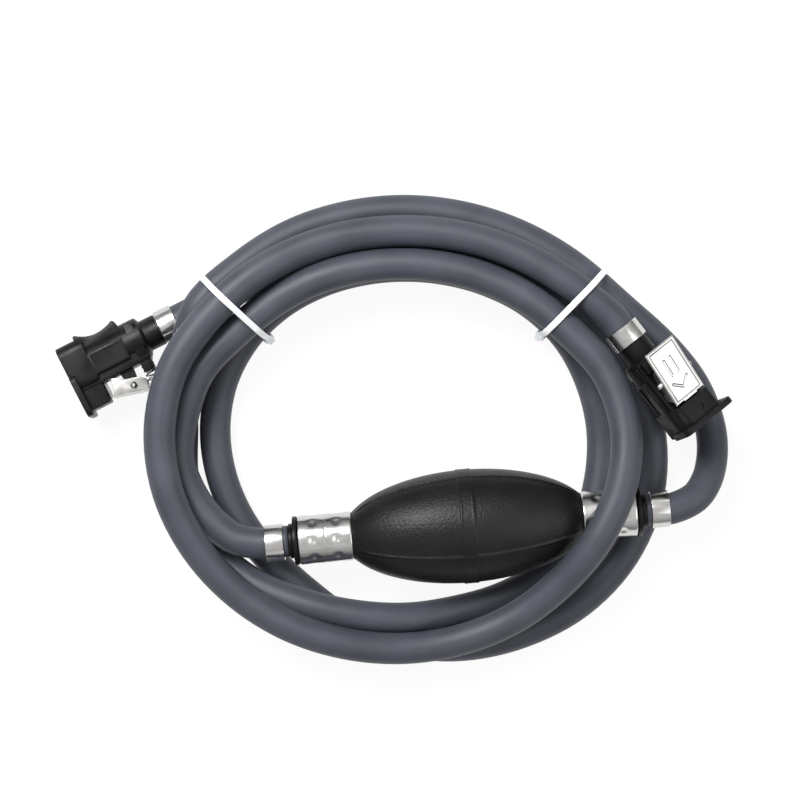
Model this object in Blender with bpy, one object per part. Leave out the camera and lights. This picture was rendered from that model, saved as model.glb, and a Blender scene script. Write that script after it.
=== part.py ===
"""Siphon bulb pump: a squeeze bulb with two one-way valves, two coiled hoses and two latching connectors.

The bulb lies along X with its lowest point at the origin. Lengths are metres, +Z is up.
"""

import math

import bmesh
import bpy
from mathutils import Matrix, Vector

MM = 0.001

# Fits
GAP = 0.3 * MM  # room left between pieces that touch or slide
STRAND_GAP = 0.45 * MM  # least room between two hose strands

# Hose
HOSE_OD = 13.5 * MM
HOSE_WALL = 2.75 * MM
HOSE_BEVEL_STEPS = 1  # six sides

# Bulb
BULB_RADIUS = 24.6 * MM  # over the girth band
GIRTH_BAND_HEIGHT = 0.3 * MM
GIRTH_BAND_HALF = 2.8 * MM
BULB_HALF = 49.0 * MM  # from the middle to the necks
OVAL_BEYOND_NECK = 5.0 * MM  # what the necks cut off each end of the bulb's oval
BULB_WALL = 3.2 * MM
NECK_LONG = 22.6 * MM

# Ferrules and the fittings that they crimp into the bulb's necks
FERRULE_RADIUS = 10.5 * MM
FERRULE_SHEET = 0.6 * MM
PLUG_RADIUS = 6.6 * MM
PLUG_INSET = 1.0 * MM  # from the bulb's end to the plug's inner face
FLANGE_RADIUS = 10.4 * MM
FLANGE_THICK = 3.8 * MM
BARB_LONG = 11.4 * MM
BARB_TEETH = 3
FITTING_BORE = 2.1 * MM
BARB_SLOPE = 0.5 * MM  # height of a barb's tooth

# One-way valves inside the fittings
CHAMBER_RADIUS = 4.8 * MM
CHAMBER_LONG = 12.0 * MM
RING_THICK = 2.0 * MM
RING_HOLE = 2.2 * MM
POPPET_RADIUS = 3.9 * MM
POPPET_THICK = 1.5 * MM
POPPET_STEM_RADIUS = 1.2 * MM
POPPET_STEM_LONG = 4.2 * MM
SPRING_RADIUS = 2.9 * MM
SPRING_WIRE = 0.5 * MM

# Crimped band clamps
CLAMP_WIDE = 7.8 * MM
CLAMP_SHEET = 0.7 * MM
CLAMP_LAP = 0.4 * MM  # extra height of the lapped layer
CLAMP_LAP_DEGREES = 120
BULB_CLAMP_FROM_HOSE_END = 2.1 * MM
CONNECTOR_CLAMP_FROM_HOSE_END = 5.0 * MM

# Cable ties
TIE_WIDE = 3.0 * MM
TIE_THICK = 1.1 * MM
TIE_SLACK = 0.6 * MM
TIE_HEAD = (5.2 * MM, 4.2 * MM, 3.2 * MM)  # across, along and off the strap
TIE_HEAD_DEGREES = 205
TIE_DEGREES = {"left": 144.6, "right": 36.4}

# Connector, from its hose end (u), towards its latch (v) and across (w)
HOUSING_LONG = 39.5 * MM
HOUSING_REAR = 1.5 * MM
BARREL_RADIUS = 9.5 * MM
DECK_HEIGHT = 10.0 * MM
DECK_HALF = 8.0 * MM
SOCKET_RADIUS = 6.5 * MM
SOCKET_FROM = 20.5 * MM
PLUNGER_WALL = 1.5 * MM
PLUNGER_CHAMBER_FROM = 9.0 * MM
PLUNGER_CHAMBER_RADIUS = 4.2 * MM
INSERT_RADIUS = 4.7 * MM
INSERT_FRONT = 8.0 * MM
INSERT_COLLAR_RADIUS = 6.0 * MM
INSERT_COLLAR_THICK = 0.9 * MM
INSERT_BARB_LONG = 13.0 * MM
PLUNGER_RADIUS = 3.8 * MM
PLUNGER_THICK = 2.0 * MM
PLUNGER_STEM_RADIUS = 1.6 * MM
PLUNGER_STEM_TO = 24.0 * MM
PLUNGER_GUIDE_RADIUS = 1.2 * MM
PLUNGER_GUIDE_LONG = 2.7 * MM
PLUNGER_HOLE = 2.6 * MM
O_RING_AT = 33.5 * MM
O_RING_WIRE = 0.8 * MM  # half its thickness
BELL_FROM = 27.0 * MM
BELL_HALF = 9.8 * MM
BELL_LOW = -12.7 * MM
BELL_CORNER = 5.0 * MM
RIM_THICK = 2.4 * MM
RIM_HALF = 12.8 * MM
RIM_LOW = 2.0 * MM
RIM_HIGH = 21.1 * MM
RIM_CORNER = 4.0 * MM
LATCH_BLOCK = (27.7 * MM, 37.2 * MM, 7.5 * MM, 19.0 * MM)  # from, to, half width, height
SADDLE_HALF = 6.0 * MM
SADDLE_REAR = 10.8 * MM
SADDLE_CREST = (12.6 * MM, -11.9 * MM)  # along and down
SADDLE_DIP = (20.7 * MM, -10.3 * MM)
SADDLE_FRONT = (29.2 * MM, -13.4 * MM)

# Latch, measured from its pin
PIN_U = 16.0 * MM
PIN_V = 17.2 * MM
PIN_RADIUS = 1.25 * MM
PIN_HALF = 9.2 * MM
LATCH_TILT_DEGREES = 15.0  # its rear end stands off the housing at rest
LATCH_SHEET = 0.8 * MM
LATCH_HALF = 7.25 * MM
LATCH_REAR = -13.8 * MM
LATCH_FRONT = 10.2 * MM
LATCH_OUTER = 3.4 * MM
HOOK_HALF = 3.6 * MM
HOOK_AT = 10.7 * MM
HOOK_REACH = -11.0 * MM
HOOK_SWING = 2.9 * MM  # room that the hook sweeps ahead of itself
BOSS_HALF = 5.6 * MM
BOSS_BEHIND = 3.4 * MM
BOSS_AHEAD = 4.0 * MM
CHEEK_REAR = -6.0 * MM
CHEEK_FRONT = 9.0 * MM
CHEEK_LOW = -3.2 * MM
CHEEK_TOE = -4.6 * MM  # the cheeks' lower front corner
LATCH_SPRING_U = 7.0 * MM
LATCH_SPRING_RADIUS = 2.6 * MM
LATCH_SPRING_WIRE = 0.7 * MM
LATCH_SPRING_TALL = 10.9 * MM

# Springs are wound with this many points in a curl
CURL_POINTS = 8

# Hose coil, seen from above: lanes are hose diameters out from its inner strand, levels are hose diameters
# up to the strand's middle. The angle runs from the photo's right, and the whole coil is turned a little.
COIL_CENTRE = Vector((-23.4 * MM, 44.2 * MM, 0))
COIL_TURN_DEGREES = -4.9
COIL_RADIUS = 76.4 * MM
COIL_OVAL = 6.5 * MM
COIL_STEP_DEGREES = 15
LEAD_STEP = 4.5 * MM

TANK_COIL_DEGREES = (180, -315)
TANK_LANES = (
    (188, 1.12), (165, 0.67), (144, 0.13), (120, 0.04), (90, 0.02), (60, 0.0), (36, 0.06), (15, 0.53),
    (0, 0.79), (-15, 0.93), (-30, 1.04), (-45, 1.27), (-60, 1.56), (-90, 1.84), (-120, 1.79), (-150, 1.66),
    (-180, 1.53), (-216, 1.26), (-240, 1.16), (-270, 1.1), (-300, 1.11), (-324, 1.22),
)
TANK_LEVELS = (
    (188, 1.73), (180, 1.78), (170, 2.04), (160, 2.07), (144, 2.02), (120, 2.21), (90, 2.23), (60, 2.31), (36, 2.49), (15, 2.67),
    (0, 2.9), (-15, 3.13), (-23, 3.2), (-30, 3.11), (-45, 2.48), (-60, 1.93), (-75, 1.7), (-90, 1.78),
    (-104, 2.13), (-115, 2.3), (-127, 2.34), (-140, 2.36), (-150, 2.52), (-165, 2.7), (-180, 2.74),
    (-190, 2.82), (-200, 2.83), (-210, 2.8), (-218, 2.74), (-240, 2.37), (-270, 2.16), (-300, 2.24), (-324, 2.4),
)
ENGINE_COIL_DEGREES = (45, 855)
ENGINE_LANES = (
    (28, 2.01), (36, 1.85), (60, 1.79), (90, 1.82), (120, 1.82), (144, 1.79), (152, 1.8), (165, 1.27),
    (178, 1.04), (186, 1.08), (195, 1.3), (204, 1.47), (210, 1.5), (225, 1.33), (240, 1.07), (255, 0.9), (270, 0.87), (285, 0.88), (300, 0.95),
    (315, 0.96), (330, 0.82), (345, 0.5), (360, 0.28), (380, 0.1), (396, 0.06), (420, 0.02), (450, 0.02),
    (480, 0.0), (540, 0.0), (555, 0.06), (570, 0.21), (588, 0.5), (601, 0.86), (615, 1.39), (630, 1.79),
    (645, 2.1), (660, 2.28), (675, 2.4), (690, 2.37), (705, 2.18), (720, 1.85), (735, 1.39), (750, 1.07),
    (780, 0.95), (810, 0.95), (840, 0.98), (857, 1.14),
)
ENGINE_LEVELS = (
    (28, 1.26), (36, 1.41), (60, 1.22), (90, 1.17), (120, 1.33), (135, 1.59), (144, 1.73), (156, 1.8),
    (163, 1.32), (170, 0.87), (178, 0.55), (188, 0.51), (195, 0.51), (204, 0.56), (225, 1.22), (233, 1.44), (240, 1.54),
    (248, 1.6), (258, 1.54), (270, 1.3), (285, 0.67), (292, 0.52), (330, 0.51), (360, 0.53), (380, 0.89),
    (396, 1.36), (420, 1.23), (450, 1.17), (480, 0.96), (504, 0.65), (525, 0.51), (720, 0.51), (735, 0.54),
    (750, 0.67), (765, 0.65), (780, 0.54), (830, 0.53), (845, 0.6), (857, 0.65),
)

# The low strands pass under the right ferrule, so the bulb's axis clears them
AXIS_Z = max(BULB_RADIUS, FERRULE_RADIUS + 1.01 * HOSE_OD + STRAND_GAP)

# Stations along the bulb's axis, measured outwards from its middle
FERRULE_FROM = BULB_HALF + GAP
NECK_END = BULB_HALF + NECK_LONG
FERRULE_TO = NECK_END + GAP + FERRULE_SHEET
FLANGE_FROM = FERRULE_TO + GAP
FLANGE_TO = FLANGE_FROM + FLANGE_THICK
HOSE_FROM = FLANGE_TO + GAP
PLUG_FROM = BULB_HALF + PLUG_INSET
CHAMBER_END = PLUG_FROM + CHAMBER_LONG
RING_FROM = PLUG_FROM + GAP
RING_TO = RING_FROM + RING_THICK
NECK_RADIUS = FERRULE_RADIUS - FERRULE_SHEET - GAP
NECK_BORE = PLUG_RADIUS + GAP

HOSE_BORE = HOSE_OD / 2 - HOSE_WALL
HOSE_BORE_FLAT = HOSE_BORE * math.cos(math.pi / (2 * HOSE_BEVEL_STEPS + 4))
BARB_RIDGE = HOSE_BORE_FLAT - GAP
BARB_ROOT = BARB_RIDGE - BARB_SLOPE

# Where the two connectors lie: hose end, heading and pitch, and the latch's lean from straight up
TANK_HOSE_END = Vector((79.0 * MM, 68.2 * MM, 31.0 * MM))
TANK_HEADING_DEGREES = -56.9
TANK_LATCH_LEAN_DEGREES = 13.0
ENGINE_HOSE_END = Vector((-130.7 * MM, 94.5 * MM, 9.8 * MM))
ENGINE_HEADING_DEGREES = 202.3
ENGINE_PITCH_DEGREES = 4.7

# Hose points that aren't coiled
TANK_LEAD = [
    (-HOSE_FROM, 0, AXIS_Z),
    (-HOSE_FROM - 0.56 * HOSE_OD, 0, AXIS_Z),
    (-HOSE_FROM - 0.86 * HOSE_OD, 0, AXIS_Z),
    (-99.0 * MM, 2.6 * MM, AXIS_Z - 0.2 * MM),
    (-106.5 * MM, 8.5 * MM, AXIS_Z - 0.6 * MM),
    (-113.5 * MM, 17.5 * MM, AXIS_Z - 1.0 * MM),
    (-118.3 * MM, 27.5 * MM, AXIS_Z - 1.2 * MM),
    (-121.0 * MM, 38.9 * MM, AXIS_Z - 1.2 * MM),
]
ENGINE_LEAD = [
    (HOSE_FROM, 0, AXIS_Z),
    (HOSE_FROM + 0.56 * HOSE_OD, 0, AXIS_Z),
    (HOSE_FROM + 0.86 * HOSE_OD, 0, AXIS_Z),
    (98.8 * MM, 3.6 * MM, AXIS_Z - 2.2 * MM),
    (105.0 * MM, 10.0 * MM, AXIS_Z - 6.2 * MM),
    (109.0 * MM, 19.0 * MM, AXIS_Z - 11.0 * MM),
    (110.4 * MM, 29.5 * MM, AXIS_Z - 14.6 * MM),
    (108.6 * MM, 41.5 * MM, AXIS_Z - 16.0 * MM),
    (103.5 * MM, 54.5 * MM, AXIS_Z - 15.6 * MM),
    (92.0 * MM, 70.5 * MM, AXIS_Z - 12.2 * MM),
    (76.5 * MM, 86.5 * MM, AXIS_Z - 8.0 * MM),
]


def plain_material(name, colour, roughness, metallic):
    material = bpy.data.materials.new(name)
    material.use_nodes = True
    shader = material.node_tree.nodes["Principled BSDF"]
    shader.inputs["Base Color"].default_value = (*colour, 1)
    shader.inputs["Roughness"].default_value = roughness
    shader.inputs["Metallic"].default_value = metallic
    return material


def place(name, data, material, frame=Matrix()):
    """A named object made from mesh or curve data, standing in a frame."""
    data.name = name
    data.materials.clear()
    data.materials.append(material)
    made = bpy.data.objects.new(name, data)
    made.matrix_world = frame
    bpy.context.scene.collection.objects.link(made)
    return made


def finished(form):
    """A mesh from a bmesh whose faces point outwards, smooth where it is round."""
    bmesh.ops.recalc_face_normals(form, faces=form.faces)
    mesh = bpy.data.meshes.new("form")
    form.to_mesh(mesh)
    form.free()
    mesh.shade_smooth()
    mesh.set_sharp_from_angle(angle=math.radians(35))
    return mesh


def turned(outline, sides=32):
    """A closed outline of (along, radius) points spun round the X axis."""
    form = bmesh.new()
    corners = [form.verts.new((along, radius, 0)) for along, radius in outline]
    edges = [form.edges.new(pair) for pair in zip(corners, corners[1:] + corners[:1])]
    bmesh.ops.spin(
        form,
        geom=corners + edges,
        cent=(0, 0, 0),
        axis=(1, 0, 0),
        angle=2 * math.pi,
        steps=sides,
        use_merge=True,
    )
    bmesh.ops.remove_doubles(form, verts=form.verts, dist=1e-7)
    bmesh.ops.dissolve_degenerate(form, edges=form.edges, dist=1e-8)
    return finished(form)


def prism(corners, along):
    """A flat outline of points pushed along a vector."""
    form = bmesh.new()
    face = form.faces.new([form.verts.new(corner) for corner in corners])
    pushed = bmesh.ops.extrude_face_region(form, geom=[face])
    moved = [item for item in pushed["geom"] if isinstance(item, bmesh.types.BMVert)]
    bmesh.ops.translate(form, verts=moved, vec=along)
    return finished(form)


def block(u, v, w):
    """A box between pairs of (from, to) on the three axes."""
    corners = [(u[0], v[0], w[0]), (u[1], v[0], w[0]), (u[1], v[1], w[0]), (u[0], v[1], w[0])]
    return prism(corners, (0, 0, w[1] - w[0]))


def cross_rod(u, v, radius, half, sides=16):
    """A rod across the connector, along w."""
    turn = [2 * math.pi * side / sides for side in range(sides)]
    corners = [(u + radius * math.cos(angle), v + radius * math.sin(angle), -half) for angle in turn]
    return prism(corners, (0, 0, 2 * half))


def rounded(low, high, half, corner, steps=4):
    """A rounded rectangle's (v, w) points, from low to high and half each side."""
    middles = ((high - corner, half - corner), (low + corner, half - corner))
    middles += ((low + corner, corner - half), (high - corner, corner - half))
    points = []
    for quarter, (v, w) in enumerate(middles):
        for step in range(steps + 1):
            angle = math.pi / 2 * (quarter + step / steps)
            points.append((v + corner * math.cos(angle), w + corner * math.sin(angle)))
    return points


def shaped(name, solid, material, frame, joined=(), cut=()):
    """One solid, with others joined to it and cut from it, placed in its frame."""
    made = place(name, solid, material)
    for operation, meshes in (("UNION", joined), ("DIFFERENCE", cut)):
        for mesh in meshes:
            helper = place("helper", mesh, material)
            boolean = made.modifiers.new("shape", "BOOLEAN")
            boolean.operation = operation
            boolean.object = helper
            bpy.context.view_layer.update()
            seen = made.evaluated_get(bpy.context.evaluated_depsgraph_get())
            result = bpy.data.meshes.new_from_object(seen)
            made.modifiers.clear()
            made.data = result
            bpy.data.objects.remove(helper)
    made.data.name = name
    made.data.shade_smooth()
    made.data.set_sharp_from_angle(angle=math.radians(35))
    made.matrix_world = frame
    return made


def looped(sections):
    """A closed loop of four-cornered sections."""
    form = bmesh.new()
    rings = [[form.verts.new(corner) for corner in section] for section in sections]
    for ring, following in zip(rings, rings[1:] + rings[:1]):
        for corner in range(4):
            other = (corner + 1) % 4
            form.faces.new((ring[corner], ring[other], following[other], following[corner]))
    return finished(form)


def wire(points, radius, bevel_steps, capped=True):
    """A tube along points, as a bevelled curve."""
    curve = bpy.data.curves.new("wire", "CURVE")
    curve.dimensions = "3D"
    curve.bevel_depth = radius
    curve.bevel_resolution = bevel_steps
    curve.use_fill_caps = capped
    spline = curve.splines.new("POLY")
    spline.points.add(len(points) - 1)
    for point, place_at in zip(spline.points, points):
        point.co = (*place_at, 1)
    return curve


def coil_spring(start, end, radius, thick, curls):
    """A helix along X, its wire inside the start and end."""
    count = CURL_POINTS * curls
    low = start + thick / 2
    high = end - thick / 2
    points = []
    for step in range(count + 1):
        angle = 2 * math.pi * step / CURL_POINTS
        along = low + (high - low) * step / count
        points.append((along, radius * math.cos(angle), radius * math.sin(angle)))
    return wire(points, thick / 2, 0)


def eased(keys, at):
    """A value read from (place, value) keys along a curve that never overshoots them."""
    if keys[0][0] > keys[-1][0]:
        keys = tuple(reversed(keys))
    spans = [b[0] - a[0] for a, b in zip(keys, keys[1:])]
    rates = [(b[1] - a[1]) / span for a, b, span in zip(keys, keys[1:], spans)]
    slopes = [rates[0]]
    for index in range(1, len(rates)):
        before, after = rates[index - 1], rates[index]
        first, second = 2 * spans[index] + spans[index - 1], spans[index] + 2 * spans[index - 1]
        level = before * after <= 0
        slopes.append(0 if level else (first + second) / (first / before + second / after))
    slopes.append(rates[-1])
    index = max(i for i in range(len(spans)) if at >= keys[i][0] or i == 0)
    span = spans[index]
    t = (at - keys[index][0]) / span
    start = (1 + 2 * t) * (1 - t) ** 2 * keys[index][1] + t * (1 - t) ** 2 * span * slopes[index]
    end = t * t * (3 - 2 * t) * keys[index + 1][1] + t * t * (t - 1) * span * slopes[index + 1]
    return start + end


def coiled(ends, lanes, levels):
    """The coil's points, one every few degrees between its end angles."""
    step = COIL_STEP_DEGREES if ends[1] > ends[0] else -COIL_STEP_DEGREES
    points = []
    for angle in range(ends[0], ends[1] + step, step):
        oval = COIL_OVAL * math.cos(2 * math.radians(angle))
        radius = COIL_RADIUS + HOSE_OD * eased(lanes, angle) + oval
        turn = math.radians(angle + COIL_TURN_DEGREES)
        height = HOSE_OD * eased(levels, angle)
        offset = Vector((radius * math.cos(turn), radius * math.sin(turn), height))
        points.append(COIL_CENTRE + offset)
    return points


def smoothed(knots, counts):
    """Points on a smooth curve through knots, with a count of steps for each stretch."""
    line = [2 * knots[0] - knots[1], *knots, 2 * knots[-1] - knots[-2]]
    points = []
    for index, count in enumerate(counts):
        a, b, c, d = line[index : index + 4]
        t1 = (b - a).length ** 0.5
        t2 = t1 + (c - b).length ** 0.5
        t3 = t2 + (d - c).length ** 0.5
        for step in range(count):
            t = t1 + (t2 - t1) * step / count
            ab = a.lerp(b, t / t1)
            bc = b.lerp(c, (t - t1) / (t2 - t1))
            cd = c.lerp(d, (t - t2) / (t3 - t2))
            abc = ab.lerp(bc, t / t2)
            bcd = bc.lerp(cd, (t - t1) / (t3 - t1))
            points.append(abc.lerp(bcd, (t - t1) / (t2 - t1)))
    return points + [knots[-1]]


def hose_route(lead, coil, tail):
    """A hose's points: one at each coil station, and closer ones along its lead and its tail."""
    knots = [Vector(knot) for knot in (*lead, *coil, *tail)]
    spans = [(b - a).length for a, b in zip(knots, knots[1:])]
    counts = [max(1, round(span / LEAD_STEP)) for span in spans]
    counts[len(lead) : len(lead) + len(coil) - 1] = [1] * (len(coil) - 1)
    return smoothed(knots, counts)


def least_gap(first, second):
    """Least room between two hoses, or between one hose's own strands, measured on points along them."""
    near = 2.5 * HOSE_OD
    dense_first, dense_second = (smoothed(line, [4] * (len(line) - 1)) for line in (first, second))
    same = first is second
    runs = [0.0]
    for a, b in zip(dense_first, dense_first[1:]):
        runs.append(runs[-1] + (b - a).length)
    best = 1.0
    for i, a in enumerate(dense_first):
        for j, b in enumerate(dense_second):
            if same and abs(runs[i] - runs[j]) < near:
                continue
            best = min(best, (a - b).length)
    return best - HOSE_OD


def crossings(route, degrees):
    """Where a hose passes the upright plane at an angle of the coil: (out, up, half width there)."""
    turn = math.radians(degrees + COIL_TURN_DEGREES)
    out = Vector((math.cos(turn), math.sin(turn), 0))
    side = Vector((-out.y, out.x, 0))
    found = []
    for a, b in zip(route, route[1:]):
        before, after = (a - COIL_CENTRE).dot(side), (b - COIL_CENTRE).dot(side)
        if before * after > 0 or before == after:
            continue
        point = a.lerp(b, before / (before - after))
        reach = (point - COIL_CENTRE).dot(out)
        if reach > COIL_RADIUS / 2:
            slant = (b - a).dot(out) / (b - a).dot(side)
            wide = HOSE_OD / 2 * math.hypot(1, slant) + TIE_WIDE / 2 * abs(slant)
            found.append((reach, point.z, wide))
    return found, out, side


def make_tie(name, degrees, routes, material, steps=60):
    """A strap drawn round the strands, with its head low on the inner side."""
    strands = []
    for route in routes:
        found, out, side = crossings(route, degrees)
        strands += found

    def at(reach, up, across):
        return COIL_CENTRE + out * reach + side * across + Vector((0, 0, up))

    def support(angle):
        """The strap's inner point that lies farthest along a direction."""
        cos, sin = math.cos(angle), math.sin(angle)
        best = None
        for reach, up, wide in strands:
            a, b = wide + TIE_SLACK, HOSE_OD / 2 + TIE_SLACK
            height = math.hypot(a * cos, b * sin)
            far = reach * cos + up * sin + height
            if best is None or far > best[0]:
                best = (far, reach + a * a * cos / height, up + b * b * sin / height)
        return best[1], best[2], cos, sin

    sections = []
    for step in range(steps):
        reach, up, cos, sin = support(2 * math.pi * step / steps)
        section = []
        for off, across in ((0, -1), (0, 1), (TIE_THICK, 1), (TIE_THICK, -1)):
            section.append(at(reach + off * cos, up + off * sin, across * TIE_WIDE / 2))
        sections.append(section)
    reach, up, cos, sin = support(math.radians(TIE_HEAD_DEGREES))
    across, along, off = TIE_HEAD
    corners = []
    for a, b in ((-1, -1), (1, -1), (1, 1), (-1, 1)):
        corner_reach = reach + TIE_THICK / 2 * cos - b * along / 2 * sin
        corner_up = up + TIE_THICK / 2 * sin + b * along / 2 * cos
        corners.append(at(corner_reach, corner_up, a * across / 2))
    head = prism(corners, (out * cos + Vector((0, 0, sin))) * off)
    return shaped(name, looped(sections), material, Matrix(), joined=[head])


def clamp(name, frame, start, material, steps=32):
    """A crimped band round the hose, lapped over part of its turn."""
    inner = HOSE_OD / 2 + GAP
    lap = CLAMP_LAP_DEGREES / 2
    angles = [360 * step / steps for step in range(steps)]
    stations = [(angle, min(angle, 360 - angle) < lap) for angle in angles]
    stations += [(lap, False), (360 - lap, False)]
    stations += [(lap - 1, True), (361 - lap, True)]
    sections = []
    for angle, lapped in sorted(set(stations)):
        outer = inner + CLAMP_SHEET + (CLAMP_LAP if lapped else 0)
        turn = math.radians(angle)
        cos, sin = math.cos(turn), math.sin(turn)
        end = start + CLAMP_WIDE
        pairs = ((start, inner), (end, inner), (end, outer), (start, outer))
        sections.append([(along, radius * cos, radius * sin) for along, radius in pairs])
    return place(name, looped(sections), material, frame)


def barbs(start, end, teeth):
    """A barbed tail's outer points: each tooth stands up steeply and slopes down to the tip."""
    points = [(start, BARB_ROOT)]
    first = start + 3 * GAP
    for tooth in range(teeth):
        at = first + (end - first) * tooth / teeth
        points += [(at, BARB_ROOT), (at, BARB_RIDGE)]
    return points + [(end, BARB_ROOT)]


def make_bulb(material, frame, steps=14):
    """The hollow bulb: an oval cut short by a neck at each end, with a band round its middle."""
    oval = BULB_RADIUS - GIRTH_BAND_HEIGHT
    oval_half = BULB_HALF + OVAL_BEYOND_NECK
    reach = math.asin(BULB_HALF / oval_half)
    outside = [(-NECK_END, NECK_BORE), (-NECK_END, NECK_RADIUS), (-BULB_HALF, NECK_RADIUS)]
    for step in range(steps + 1):
        angle = reach * (2 * step / steps - 1)
        along = oval_half * math.sin(angle)
        if abs(along) > GIRTH_BAND_HALF:
            outside.append((along, oval * math.cos(angle)))
        else:
            for side in (-1, 1):
                edges = [(side * GIRTH_BAND_HALF, oval - GIRTH_BAND_HEIGHT / 4)]
                edges.append((side * (GIRTH_BAND_HALF - GIRTH_BAND_HEIGHT), BULB_RADIUS))
                outside += edges if side < 0 else reversed(edges)
    outside += [(BULB_HALF, NECK_RADIUS), (NECK_END, NECK_RADIUS), (NECK_END, NECK_BORE)]
    hollow, hollow_half = oval - BULB_WALL, oval_half - BULB_WALL
    turn = math.acos(NECK_BORE / hollow)
    inside = []
    for step in range(steps - 3):
        angle = turn * (1 - 2 * step / (steps - 4))
        inside.append((hollow_half * math.sin(angle), hollow * math.cos(angle)))
    return place("bulb", turned(outside + inside), material, frame)


def make_bulb_end(end, frame, outwards, materials):
    """One end of the bulb: ferrule, barbed fitting, valve and clamp. The frame's X points away from the bulb."""
    sheet = FERRULE_RADIUS - FERRULE_SHEET
    lip = PLUG_RADIUS + 2 * GAP
    ferrule = [(FERRULE_FROM, sheet), (FERRULE_FROM, FERRULE_RADIUS), (FERRULE_TO, FERRULE_RADIUS)]
    ferrule += [(FERRULE_TO, lip), (FERRULE_TO - FERRULE_SHEET, lip), (FERRULE_TO - FERRULE_SHEET, sheet)]
    place(end + "_ferrule", turned(ferrule), materials["steel"], frame)

    tip = FLANGE_TO + BARB_LONG
    fitting = [(PLUG_FROM, CHAMBER_RADIUS), (PLUG_FROM, PLUG_RADIUS), (FLANGE_FROM, PLUG_RADIUS)]
    fitting += [(FLANGE_FROM, FLANGE_RADIUS), (FLANGE_TO, FLANGE_RADIUS)]
    fitting += barbs(FLANGE_TO, tip, BARB_TEETH)
    fitting += [(tip, FITTING_BORE), (CHAMBER_END, FITTING_BORE), (CHAMBER_END, CHAMBER_RADIUS)]
    place(end + "_fitting", turned(fitting, 24), materials["plastic"], frame)

    ring_radius = CHAMBER_RADIUS - GAP
    ring = [(RING_FROM, RING_HOLE), (RING_FROM, ring_radius), (RING_TO, ring_radius), (RING_TO, RING_HOLE)]
    ring_name = "outlet_valve_seat" if outwards else "inlet_spring_cage"
    place(ring_name, turned(ring, 24), materials["plastic"], frame)

    # the poppet's face shuts the ring's hole at the outlet and the fitting's bore at the inlet
    away = 1 if outwards else -1
    face = RING_TO + GAP if outwards else CHAMBER_END - GAP
    disc = face + away * POPPET_THICK
    poppet = [(0, 0), (0, POPPET_RADIUS), (POPPET_THICK, POPPET_RADIUS)]
    poppet += [(POPPET_THICK, POPPET_STEM_RADIUS), (POPPET_THICK + POPPET_STEM_LONG, POPPET_STEM_RADIUS)]
    poppet += [(POPPET_THICK + POPPET_STEM_LONG, 0)]
    seat = frame @ Matrix.Translation((face, 0, 0))
    if not outwards:
        seat = seat @ Matrix.Rotation(math.pi, 4, "Z")
    place(end + "_valve_poppet", turned(poppet, 24), materials["valve"], seat)

    spring_ends = (disc + GAP, CHAMBER_END - GAP) if outwards else (RING_TO + GAP, disc - GAP)
    spring = coil_spring(*spring_ends, SPRING_RADIUS, SPRING_WIRE, 5)
    place(end + "_valve_spring", spring, materials["spring"], frame)

    clamp(end + "_clamp", frame, HOSE_FROM + BULB_CLAMP_FROM_HOSE_END, materials["steel"])


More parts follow.
